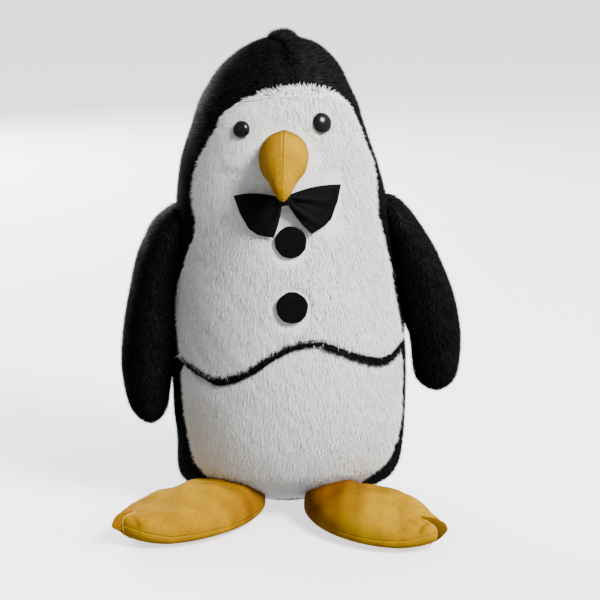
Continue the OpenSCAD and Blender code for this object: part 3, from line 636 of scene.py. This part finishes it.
base_x = LEAN * 0.5
v, f = lathe([(0.1, 0.0), (30, 0), (33.6, 0.15), (34.6, 1.0), (34.2, 2.2), (30, 2.6), (0.1, 2.6)],
             (base_x, BASE_Y, 0), 64)
base = mesh_piece("base_cloth", v, f[:, ::-1], [black_base])
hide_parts("base_panel")
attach(base, "torso")
n = int(2600 * FUR)
q = quasi(n, 9)
el, az = np.arcsin(q[:, 0]), q[:, 1] * 2 * np.pi
Nk = np.stack([np.cos(el) * np.cos(az), np.cos(el) * np.sin(az), np.sin(el)], -1)
kc = np.array([LEAN * c_lean(1.0), 0.0, BODY_H - 1.8])
Pk = kc + Nk * np.array([8.6, 7.5, 4.4])
r = RNG.random((n, 4))
around = np.cross(Nk, np.array([0.2, 0.3, 1.0]))
comb = unit(around * (r[:, :1] - 0.5) * 2 + np.array([0.1, 0, 0.35]) - Nk * 0.2)
lay_pile("crown_pile", Pk, Nk, comb, 3.5 + 4.0 * r[:, 1], 0.5 + 0.3 * r[:, 2], BLACK,
         (r[:, 3] * 2.99).astype(int), 35 + 35 * r[:, 1], 10 + 30 * r[:, 2], False)
v, f = lathe([(9.2, -3), (8.8, 0), (7.8, 1.6), (6.0, 3.0), (3.0, 4.1), (0.1, 4.4)], tuple(kc), 32)
knot = mesh_piece("crown_gather", v, f, [black_base])
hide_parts("crown_knot")
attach(knot, "torso")

# -------- eyes
for side_name, (eye_s, eye_a, eye_r) in EYES.items():
    p, nrm = on_body(eye_s, eye_a)
    prof = [(0.05, 6.8)]
    prof += [(eye_r * math.sin(k), 2.2 + 4.6 * math.cos(k)) for k in np.linspace(0.08, 1.57, 18)]
    prof += [(eye_r, 1.2), (eye_r - 0.8, 0.2), (2.2, 0.2), (2.2, -9.5), (0.05, -9.5)]
    v, f = lathe(prof, (0, 0, 0), 56)
    v = stood_on(v, p, nrm) + nrm * 0.6
    o = mesh_piece(f"{side_name}_eye_dome", v, f[:, ::-1], [eye_gloss])
    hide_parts(f"{side_name}_eye")
    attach(o, "torso")

# -------- beak
BW, BH, BL, BD = 37.6, 39.0, 46.0, 26.2     # width, height, reach and drop of the tip


def beak_surface(t, a, off=0.0):
    """t from root to tip, a in degrees from the top round to +X."""
    taper = np.maximum(1 - t, 0) ** 0.60
    bulge = 1 + 0.10 * np.sin(np.pi * np.minimum(t * 1.6, 1))
    hw = BW / 2 * taper * bulge - off
    hh = BH / 2 * taper * bulge - off
    th = np.radians(90 * t)
    yc, zc = -BL * np.sin(th), -BD * (1 - np.cos(th)) - 2
    tilt = np.radians(62 * t)
    turn = np.radians(a)
    px, pz = hw * np.sin(turn), hh * np.cos(turn)
    from_top = np.abs(((a + 180) % 360) - 180)
    ridge = 1.1 * np.exp(-(from_top / 7.0) ** 2) * (1 - t * 0.5)
    groove = 0.45 * np.exp(-(from_top / 2.6) ** 2)
    low = 0.6 * np.exp(-(np.abs((a % 360) - 180) / 5.0) ** 2)
    pz = pz + (ridge - groove - low) * np.cos(turn)
    puck = 0.35 * np.sin(t * 60 + 3 * np.sin(turn)) * np.exp(-(from_top / 18.0) ** 2)
    px = px * (1 + 0.012 * np.sin(t * 19 + turn * 2))
    return np.stack([px, yc - (pz + puck) * np.sin(tilt) * 0.9, zc + (pz + puck) * np.cos(tilt)], -1)


def beak_place(v):
    yaw = math.radians(-5)
    c, s = math.cos(yaw), math.sin(yaw)
    rot = np.array([[c, -s, 0], [s, c, 0], [0, 0, 1]])
    raw = body_raw(np.array([BEAK_S]), np.array([BEAK_A]))[0]
    return v @ rot.T + raw + np.array([0.8, -1, 0.4])


for side_name, sgn in (("left", -1), ("right", 1)):
    T = np.linspace(0, 0.995, 70)[:, None]
    G = sgn * np.linspace(0, 180, 54)[None]
    TT = T * np.ones_like(G)
    GG = G * np.ones_like(T)
    ext = beak_surface(TT, GG)
    cen = ext.mean(1, keepdims=True)
    ext[0, :, 1] += 6.0
    inn = ext + unit(cen - ext) * 0.9
    inn[0, :, 1] = ext[0, :, 1]
    shift = np.array([sgn * 0.06, 0, 0])
    v, f = slab_mesh(beak_place(ext + shift), beak_place(inn + shift), flip=sgn < 0)
    o = mesh_piece(f"beak_{side_name}_cloth", v, f[:, ::-1], [yellow])
    # painted shade: the left half darkens away from its top ridge, and a band at the root darkens where the
    # beak meets the body
    shaded_side = (0.42 if sgn < 0 else 0.0) * np.clip(np.abs(GG).ravel() / 60, 0, 1)
    set_shade(o, np.tile(shaded_side + 0.25 * (TT.ravel() < 0.1), 2))
    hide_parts(f"beak_{side_name}_panel")
    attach(o, "torso")

beak_rings = [beak_place(beak_surface(np.full(30, k), np.linspace(0, 360, 30, endpoint=False), 2.6))
              for k in np.linspace(0.0, 0.86, 14)]
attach(filling("beak_fill", beak_rings, "beak_stuffing", True), "torso")

# -------- bow tie
BOW_LIFT = 7.0


def bow_place(v, turn):
    """Local bow vertices, turned in the picture plane by degrees and moved in front of the body."""
    t = math.radians(turn)
    c, s = math.cos(t), math.sin(t)
    rot = np.array([[c, 0, s], [0, 1, 0], [-s, 0, c]])
    raw = body_raw(np.array([BOW_S]), np.array([BOW_A]))[0]
    return v @ rot.T + raw + np.array([0, -BOW_LIFT, 0])


def wing(name, sgn, corners, turn, node, seed):
    """A pleated wing between the knot and an outer edge through its corners, local x outward."""
    nu, nv = 60, 64
    u = np.linspace(0, 1, nu)[:, None] * np.ones((1, nv))
    t = np.linspace(0, 1, nv)[None] * np.ones((nu, 1))
    c = np.array(corners, float)
    seg = np.concatenate([[0], np.cumsum(np.linalg.norm(np.diff(c, axis=0), axis=1))])
    seg /= seg[-1]
    ox, oz = np.interp(t, seg, c[:, 0]), np.interp(t, seg, c[:, 1])
    rx, rz = 3.5 + 0 * t, 7.4 - 9.4 * t
    x = rx + (ox - rx) * u
    z = rz + (oz - rz) * u
    z += np.sin(np.pi * u) * (2.2 * (1 - t) ** 2 - 1.4 * t**2)
    fold = 1.5 * np.sin(t * 2 * np.pi * 2.0 + seed) + 0.7 * np.sin(t * 2 * np.pi * 4.3 + 2 * seed)
    fold = fold * (1 - u) ** 0.7 + 0.5 * np.sin(u * 4 + t * 7 + seed) * u
    y = -3.2 + fold * np.clip(u * 6, 0.2, 1) - 2.6 * np.sin(np.pi * u) * np.sin(np.pi * t)
    y += x * x * 0.0036 + 1.0 * u
    front = np.stack([sgn * x, y - 0.7, z], -1)
    back = np.stack([sgn * x, y + 0.7, z], -1)
    # thinner towards the three free edges
    thin = np.clip(np.minimum.reduce([(1 - u) * 16, t * 16, (1 - t) * 16]), 0.25, 1)[..., None]
    middle = (front + back) / 2
    front, back = middle + (front - middle) * thin, middle + (back - middle) * thin
    v, f = slab_mesh(bow_place(front, turn), bow_place(back, turn), flip=sgn < 0)
    o = mesh_piece(name, v, f[:, ::-1], [bow_cloth])
    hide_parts(node)
    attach(o, "torso")


LEFT_EDGE = [(31.5, 22), (33.5, 8), (33, -6), (29, -13), (19.7, -20)]
RIGHT_EDGE = [(39.5, 20.5), (39.8, 8), (37.6, -6.5), (33, -13), (24.8, -20)]
wing("bow_wing_left", -1, LEFT_EDGE, -27, "bow_left_wing", 0.4)
wing("bow_wing_right", 1, RIGHT_EDGE, 11, "bow_right_wing", 1.3)
T = np.linspace(0, 2 * np.pi, 40, endpoint=False)[None]
X = np.linspace(-1, 1, 22)[:, None]
rr = 1 - 0.10 * np.abs(X) ** 3 + 0.05 * np.sin(T * 5 + X * 2)
ring = np.stack([X * 5.0 * np.ones_like(T), -3.0 + 4.2 * rr * np.cos(T), 3.0 + 5.4 * rr * np.sin(T)], -1)
caps = ring.copy()
for end in (0, -1):
    centre = ring[end].mean(0)[1:]
    caps[end, :, 1:] = centre + (ring[end, :, 1:] - centre) * 0.02
full = np.concatenate([caps[:1], ring, caps[-1:]])
f = grid_faces(len(full), 40, closed=True)
o = mesh_piece("bow_centre", bow_place(full.reshape(-1, 3), -4), f[:, ::-1], [bow_cloth])
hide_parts("bow_knot")
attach(o, "torso")

# -------- felt discs
for nm, (disc_s, disc_a) in DISCS.items():
    p, nrm = on_body(disc_s, disc_a, 3.2)
    prof = [(0.05, 1.5), (6, 1.5), (10.5, 1.45), (11.6, 1.2), (12.0, 0.7), (11.7, 0.15), (11, 0), (0.05, 0)]
    v, f = lathe(prof, (0, 0, 0), 72)
    ang = np.arctan2(v[:, 1], v[:, 0])
    edge = 1 + 0.012 * np.sin(ang * 5 + disc_s * 40) + 0.008 * np.sin(ang * 11)
    v[:, :2] *= edge[:, None]
    rad = np.hypot(v[:, 0], v[:, 1])
    v[:, 2] -= rad**2 / 260.0 - 0.25 * np.sin(v[:, 0] * 0.5) * np.cos(v[:, 1] * 0.4)
    o = mesh_piece(f"felt_disc_{nm}", stood_on(v, p, nrm), f[:, ::-1], [felt])
    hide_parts(f"{nm}_button")
    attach(o, "torso")

# -------- flippers
# side, shoulder x and z, length, and how far it hangs outward in degrees
FLIP = {"left": (-1, -87.0, 239.0, 176.0, 0.0), "right": (1, 89.0, 246.0, 162.0, 4.0)}
# outer and inner outline from the front, and half the breadth as a share, by length share
OUT = {"left": curve([(-.06, -8), (-.027, .4), (.01, 9), (.045, 15.5), (.12, 22.5), (.195, 28),
                      (.27, 31.5), (.38, 35.5), (.5, 39.5), (.6, 41.5), (.7, 42.2), (.78, 41),
                      (.86, 38), (.933, 34), (.97, 32), (1, 31)]),
       "right": curve([(-.03, -6), (.014, 2.1), (.054, 7.6), (.094, 12), (.175, 19.5), (.255, 26.3),
                       (.335, 31.2), (.456, 37.8), (.54, 40.8), (.616, 42.4), (.696, 43.1),
                       (.777, 42.2), (.856, 40), (.92, 37.5), (1, 36)])}
TIP = 0.955
INN = {"left": curve([(-.06, -16), (0, -14), (.1, -9), (.2, -3), (.3, 1.6), (.45, 2.6), (.6, 3),
                      (.7, 4.6), (.8, 7.6), (.86, 9.0), (.933, 10.4), (1, 11.5)]),
       "right": curve([(-.03, -18), (0, -16), (.1, -12), (.2, -7), (.3, -3.6), (.4, -1.6), (.5, 0), (.6, 2.4),
                       (.66, 5.5), (.72, 7), (.856, 8), (.92, 9), (1, 10)])}
BROAD = curve([(-.06, .3), (-.03, .42), (0, .52), (.05, .7), (.1, .82), (.2, .93), (.3, .98),
               (.4, 1), (.5, 1), (.6, 1), (.7, .99), (.8, .96), (.88, .9), (1, .8)])


def flipper_place(v, sgn, hx, hz, hang):
    h = math.radians(-sgn * hang)
    v = v * np.array([sgn, 1, 1])
    c, s = math.cos(h), math.sin(h)
    return v @ np.array([[c, 0, s], [0, 1, 0], [-s, 0, c]]).T + np.array([hx, 0, hz])


def flipper_local(name, t, a, length, off=0.0):
    """a 0 outward, 90 to the rear, 180 towards the body."""
    close = np.sqrt(np.clip(1 - np.clip((t - 0.90) / 0.10, 0, 1) ** 2.4, 0.0, 1))
    o, i = OUT[name](t * TIP), INN[name](t * TIP)
    hx = np.maximum((o - i) / 2 * close - off, 0.05)
    hy = np.maximum(29.0 * BROAD(t) * close - off, 0.05)
    turn = np.radians(a)
    z = -(t * np.where(t > 0, TIP, 1) * length) - 0.5
    return np.stack([(o + i) / 2 + hx * np.cos(turn), hy * np.sin(turn), z + 0 * turn], -1)


for nm, (sgn, hx, hz, ln, hang) in FLIP.items():
    fn = lambda t, a, off=0.0: flipper_place(flipper_local(nm, t, a, ln, off), sgn, hx, hz, hang)
    t0 = -0.06 if sgn < 0 else -0.03
    start = (hx * MM, 0, (hz + 10) * MM)
    end = ((hx + sgn * 8) * MM, 0, (hz - 17) * MM)
    for part, a0, a1 in (("outer", -90, 90), ("inner", 90, 270)):
        T = np.linspace(0, 1, 90)[:, None]
        T = t0 + (1 - t0) * (T - 0.4 * np.sin(2 * np.pi * T) / (2 * np.pi))
        G = np.linspace(a0, a1, 44)[None]
        TT, GG = T * np.ones_like(G), G * np.ones_like(T)
        v, f = slab_mesh(fn(TT, GG), fn(TT, GG, 1.6), flip=sgn > 0)
        o = mesh_piece(f"flipper_{nm}_{part}_skin", v, f, [black_base])
        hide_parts(f"{nm}_flipper_{part}")
        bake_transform(o)
    around = np.linspace(0, 360, 24, endpoint=False)
    rings = [fn(np.full(24, t), around, 3.6) for t in np.linspace(0.04, 0.955, 24)]
    fill = filling(f"flipper_{nm}_fill", rings, f"{nm}_flipper_stuffing", sgn < 0)
    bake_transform(fill)
    T, G = spread_over(fn, t0, 0.999, -180, 180, 31 if sgn < 0 else 47, 140, 120)
    Pf = fn(T, G)
    along = fn(np.clip(T + 0.004, t0, 1), G) - fn(np.clip(T - 0.004, t0, 1), G)
    Nf = unit(np.cross(along, fn(T, G + 1.0) - fn(T, G - 1.0)))
    mid_t = np.clip(T, 0.02, 0.95)
    cen = fn(mid_t, np.zeros_like(G)) * 0.5 + fn(mid_t, np.zeros_like(G) + 180) * 0.5
    Nf[np.sum(Nf * (Pf - cen), 1) < 0] *= -1
    dn = np.array([0.0, 0, -1.0]) + Nf * 0
    dn = unit(dn - Nf * np.sum(dn * Nf, 1, keepdims=True))
    sd = unit(np.cross(Nf, dn))
    r = RNG.random((len(T), 6))
    wobf = lumps(Pf[:, 0], Pf[:, 1], Pf[:, 2], 26.0, 2.0 * sgn)
    comb = unit(dn + sd * (0.5 * wobf + (r[:, 0] - 0.5) * 0.9)[:, None])
    free = body_inside(Pf, 0.5) < 0
    Pf, Nf, comb, r = Pf[free], Nf[free], comb[free], r[free]
    tone = np.where(r[:, 3] < 0.5, 0, np.where(r[:, 3] < 0.8, 1, 2))
    lay_pile(f"pile_flipper_{nm}", Pf, Nf, comb, 5.0 + 1.6 * (r[:, 1] - 0.5) * 2, 0.55 + 0.3 * r[:, 2],
             BLACK, tone, 42 + 20 * (r[:, 4] - 0.5) * 2, 26 + 18 * (r[:, 5] - 0.5) * 2, False,
             blend=("torso", f"{nm}_flipper", start, end))

# -------- feet
# side, splay in degrees, x and y of the middle
FOOT = {"left": (-1, 57.0, -79.0, -69.0), "right": (1, 45.0, 64.0, -77.0)}
FL, FW, FH, FZ = 70.0, 37.0, 33.5, 10.5     # length to the rear, half width, height, height of the seam
# per foot: pad length, lip length, bluntness, how far the toe curls up, fall of the top, step forward
SHAPE = {"left": (62.5, 70.5, 1.6, 7.0, 0.16, 0.0), "right": (58.6, 66.6, 0.7, 6.2, 0.30, 14.0)}


def foot_place(v, splay, sgn, cx, cy):
    a = math.radians(-90 + sgn * splay)
    c, s = math.cos(a), math.sin(a)
    return v @ np.array([[c, -s, 0], [s, c, 0], [0, 0, 1]]).T + np.array([cx, cy, 0])


def curl_at(x, nm):
    """How far the toe of a foot curls up at x."""
    return SHAPE[nm][3] * (np.clip((x - 34) / 26, 0, 1.1)) ** 1.6


def foot_local(r, a, up, nm):
    """Pad of a foot; r and a run over its outline, up is 1 on top and -1 on the sole."""
    toe, _, blunt, _, fall, _ = SHAPE[nm]
    seed = 0.7 if nm == "left" else 1.9
    u, v = r * np.cos(a), r * np.sin(a)
    t = np.sqrt(np.clip(1 - r ** (2 + blunt * np.clip(u, 0, 1)), 0, 1))
    x = u * np.where(u > 0, toe, FL)
    y = v * FW * (1 - np.where(u > 0, 0.26 - 0.08 * blunt, 0.32) * np.abs(u) ** 2.4)
    z_top = FZ + (FH - FZ) * t**0.80 * (1 - 0.27 * u - fall * np.clip(u, 0, 1) ** 2)
    z_low = FZ - (FZ + 0.55 * curl_at(x, nm)) * t**0.62
    edge = np.clip(t * 3, 0, 1)
    folds = 0.9 * np.sin(x * 0.10 + y * 0.13 + seed * 2) + 0.6 * np.sin(x * 0.21 - y * 0.19 + seed)
    folds += 1.5 * np.exp(-((x - 6 - 0.8 * y) / 6.0) ** 2) * np.exp(-((y + 2) / 16.0) ** 2)
    folds += 0.6 * np.sin(y * 0.75 + seed) * np.exp(-((x - toe + 13) / 7.0) ** 2)
    folds -= 2.4 * np.exp(-(((x + 26) / 5.0) ** 2 + ((y - 10 * seed + 4) / 11.0) ** 2))
    folds -= 1.5 * np.exp(-(((x - 30 + 3 * seed) / 5.0) ** 2 + ((y + 7) / 3.5) ** 2))
    folds -= 1.3 * np.exp(-(((x - 44) / 3.5) ** 2 + ((y - 5 * seed) / 3.0) ** 2))
    z = np.where(up > 0, z_top + folds * edge, z_low) + curl_at(x, nm)
    return np.stack([x, y, z], -1)


def foot_tab(nm):
    """Thin upright lip of cloth pinched round the end of the toe."""
    n, m = 30, 44
    toe, tip = SHAPE[nm][:2]
    q = np.linspace(0, 1, n)[:, None]
    g = np.linspace(0, 2 * np.pi, m, endpoint=False)[None]
    reach = np.sin(q * np.pi / 2)
    x = (toe - 18) + (tip - (toe - 18)) * reach
    k = (1 - reach**2.2) ** 0.62 + 0.004
    z = FZ + (1.0 if nm == "left" else 1.8) + curl_at(x, nm) + 0.8 * np.sin(x * 0.6) * (1 - k)
    thick = 2.6 * np.minimum(k * 1.6, 1) * (1 - 0.35 * reach)
    return np.stack([x + 0 * g, thick * np.cos(g), z + 11.2 * k * np.sin(g)], -1)


def push_out(v, d, grow):
    """Moves points that would lie in the body along d until they are clear of it."""
    lo = np.zeros(len(v))
    bad = body_inside(v, grow) > 0
    hi = np.where(bad, 90.0, 0.0)
    for _ in range(18):
        mid = (lo + hi) / 2
        in_body = body_inside(v + d * mid[:, None], grow) > 0
        lo, hi = np.where(in_body, mid, lo), np.where(in_body, hi, mid)
    return v + d * np.where(bad, hi, 0)[:, None]


for nm, (sgn, splay, cx, cy) in FOOT.items():
    a = math.radians(-90 + sgn * splay)
    d = np.array([math.cos(a), math.sin(a), 0.0])
    toe = SHAPE[nm][0]
    cy -= SHAPE[nm][5]
    for part, up in (("top", 1), ("sole", -1)):
        R = np.sin(np.pi / 2 * np.linspace(0.004, 1.0, 70))[:, None]
        G = np.linspace(0, 2 * np.pi, 180, endpoint=False)[None]
        Rg, Gg = R * np.ones_like(G), G * np.ones_like(R)
        ext = foot_local(Rg, Gg, up, nm)
        inn = ext * np.array([0.985, 0.97, 1]) + np.array([0, 0, -1.2 * up])
        inn[-1] = ext[-1] * np.array([0.985, 0.97, 1])
        v = np.concatenate([push_out(foot_place(face.reshape(-1, 3), splay, sgn, cx, cy), d, 0.8)
                            for face in (ext, inn)])
        n, m = Rg.shape
        k, last = n * m, (n - 1) * m
        j = np.arange(m)
        rim = np.stack([last + j, last + (j + 1) % m, k + last + (j + 1) % m, k + last + j], -1)
        f = np.vstack([grid_faces(n, m, True), grid_faces(n, m, True, start=k, flip=True), rim])
        o = mesh_piece(f"foot_{nm}_{part}_cloth", v, f if up > 0 else f[:, ::-1], [yellow])
        o.data.polygons.foreach_set("use_smooth", np.arange(len(f)) < len(f) - m)
        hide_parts(f"{nm}_foot_{part}")
        # painted shade: darker towards the rear of the foot, where it goes in under the body, less on the
        # lower parts
        back = np.clip(-(ext[..., 0] - (14 if sgn > 0 else 4)) / 46, 0, 1) * (1.0 if sgn > 0 else 0.8)
        back = back * np.clip(0.55 + ext[..., 2] / 40 + 0.2 * np.sin(ext[..., 1] * 0.25), 0, 1)
        # painted shade: darker below 9 mm, low on the foot by the floor
        low = np.clip((9 - ext[..., 2]) / 9, 0, 1) * 0.35
        # painted shade: a dark spot for the shade in the dimple just inside the toe seam, at mid height; the
        # sine below adds an uneven mottle
        dimple_shade = (ext[..., 2] - FZ - curl_at(toe - 7, nm) - 5.5) / 3.6
        dimple_shade = 0.75 * np.exp(-((ext[..., 0] - toe + 7) / 1.5) ** 2 - dimple_shade**2)
        low = low + dimple_shade + 0.12 * np.sin(ext[..., 0] * 0.3 + ext[..., 1] * 0.2)
        set_shade(o, np.tile(np.clip(back + low, 0, 1).ravel(), 2))
        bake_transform(o)

    v, tri = capped(foot_place(foot_tab(nm), splay, sgn, cx, cy))
    o = mesh_piece(f"foot_{nm}_tab", v, tri, [yellow])
    set_shade(o, np.full(len(v), 0.5))
    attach(o, f"{nm}_foot")

    # two threads beside the lip, from the top over the toe to the sole
    threads = bpy.data.curves.new(f"foot_{nm}_seam", "CURVE")
    threads.dimensions = "3D"
    threads.bevel_depth = 0.34 * MM
    threads.bevel_resolution = 2
    for beside in (-1, 1):
        parts = []
        for up, end in ((1, 0.80), (-1, 0.86)):
            arc = np.linspace(end, 0.9995, 44) if up > 0 else np.linspace(0.9995, end, 44)
            off = beside * 2.5 / (FW * 0.8) * np.clip((arc - end) / 0.03, 0.05, 1)
            parts.append(foot_local(arc, np.arcsin(off / arc), up, nm))
        pts = foot_place(np.concatenate(parts) + np.array([0.2, 0, 0]), splay, sgn, cx, cy)
        spline = threads.splines.new("POLY")
        spline.points.add(len(pts) - 1)
        for point, place in zip(spline.points, pts):
            point.co = (*(place * MM), 1)
    threads.use_fill_caps = True
    threads.materials.append(thread)
    o = bpy.data.objects.new(f"foot_{nm}_seam", threads)
    bpy.context.scene.collection.objects.link(o)
    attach(o, f"{nm}_foot")

    G = np.linspace(0, 2 * np.pi, 36, endpoint=False)
    sizes = (.05, .3, .5, .65, .76)
    rings = [foot_local(np.full(36, k), G, -1, nm) + np.array([0, 0, 2.6]) for k in sizes]
    rings += [foot_local(np.full(36, k), G, 1, nm) - np.array([0, 0, 3.4]) for k in reversed(sizes)]
    rings = [push_out(foot_place(ring, splay, sgn, cx, cy), d, 4.5) for ring in rings]
    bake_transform(filling(f"foot_{nm}_fill", rings, f"{nm}_foot_stuffing"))

# -------- eye washers keep their CAD shape
for side_name in ("left", "right"):
    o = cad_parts[f"{side_name}_eye_washer"]
    o.data.materials.clear()
    o.data.materials.append(plastic)

# -------- floor, light and camera
def glowing(m, strength):
    put(m.node_tree.nodes["Principled BSDF"],
        {"Emission Color": (1, 1, 1, 1), "Emission Strength": strength})
    return m


bpy.ops.mesh.primitive_plane_add(size=120, location=(0, 0, 0))
floor = bpy.context.object
floor.name = "floor"
floor.data.materials.append(glowing(principled("floor", (0.92, 0.92, 0.91), 0.9, 0, 0.1), 1.3))
floor.visible_diffuse = False
floor.visible_glossy = False
bpy.ops.mesh.primitive_uv_sphere_add(segments=48, ring_count=24, radius=45, location=(0, 0, 0))
sky = bpy.context.object
sky.name = "backdrop"
sky.data.materials.append(glowing(principled("backdrop", (0.0, 0.0, 0.0), 1.0, 0, 0.0), 2.0))
sky.visible_diffuse = sky.visible_glossy = sky.visible_transmission = sky.visible_shadow = False


def aimed(name, data, loc, aim):
    """Light or camera at loc, in metres, that looks at aim."""
    o = bpy.data.objects.new(name, data)
    o.location = loc
    o.rotation_mode = "QUATERNION"
    o.rotation_quaternion = Vector(np.array(aim) - np.array(loc)).to_track_quat("-Z", "Y")
    bpy.context.scene.collection.objects.link(o)
    return o


def area_light(name, loc, size, power, colour):
    d = bpy.data.lights.new(name, "AREA")
    d.shape, d.size, d.energy, d.color = "DISK", size, power, colour
    aimed(name, d, loc, (0, 0, 0.2))


area_light("key", (1.4, -1.5, 1.9), 1.1, 208, (1, 0.99, 0.97))
area_light("fill", (-1.6, -1.4, 0.9), 1.6, 3, (0.97, 0.98, 1))
area_light("rear", (-1.3, 2.3, 1.1), 1.4, 190, (0.98, 0.99, 1))
world = bpy.data.worlds.new("studio")
bpy.context.scene.world = world
world.use_nodes = True
tree = world.node_tree
background = tree.nodes["Background"]
direction = tree.nodes.new("ShaderNodeTexCoord")
axes = tree.nodes.new("ShaderNodeSeparateXYZ")
tree.links.new(direction.outputs["Generated"], axes.inputs[0])
total = tree.nodes.new("ShaderNodeMath")
total.operation = "ADD"
# brighter towards +X, and again behind the toy
RAMPS = (("X", "LINEAR", {"From Min": -1.0, "From Max": 1.0, "To Min": 0.28, "To Max": 1.05}),
         ("Y", "SMOOTHSTEP", {"From Min": 0.3, "From Max": 0.95, "To Min": 0.0, "To Max": 1.2}))
for socket, (axis, kind, values) in enumerate(RAMPS):
    ramp = put(tree.nodes.new("ShaderNodeMapRange"), values)
    ramp.interpolation_type = kind
    tree.links.new(axes.outputs[axis], ramp.inputs["Value"])
    tree.links.new(ramp.outputs[0], total.inputs[socket])
background.inputs["Color"].default_value = (0.98, 0.985, 1, 1)
tree.links.new(total.outputs[0], background.inputs["Strength"])

cam_data = bpy.data.cameras.new("camera")
cam_data.sensor_width = 36.0
cam_data.lens = 95.9
cam_data.clip_start = 0.05
cam_data.clip_end = 50
az, el, dist = math.radians(-4), math.radians(11), 1.2734
toward = np.array([math.sin(az) * math.cos(el), -math.cos(az) * math.cos(el), math.sin(el)])
loc = toward * dist + np.array([0, 0, 0.2])
bpy.context.scene.camera = aimed("camera", cam_data, loc, (0.012, 0.0, 0.1655))
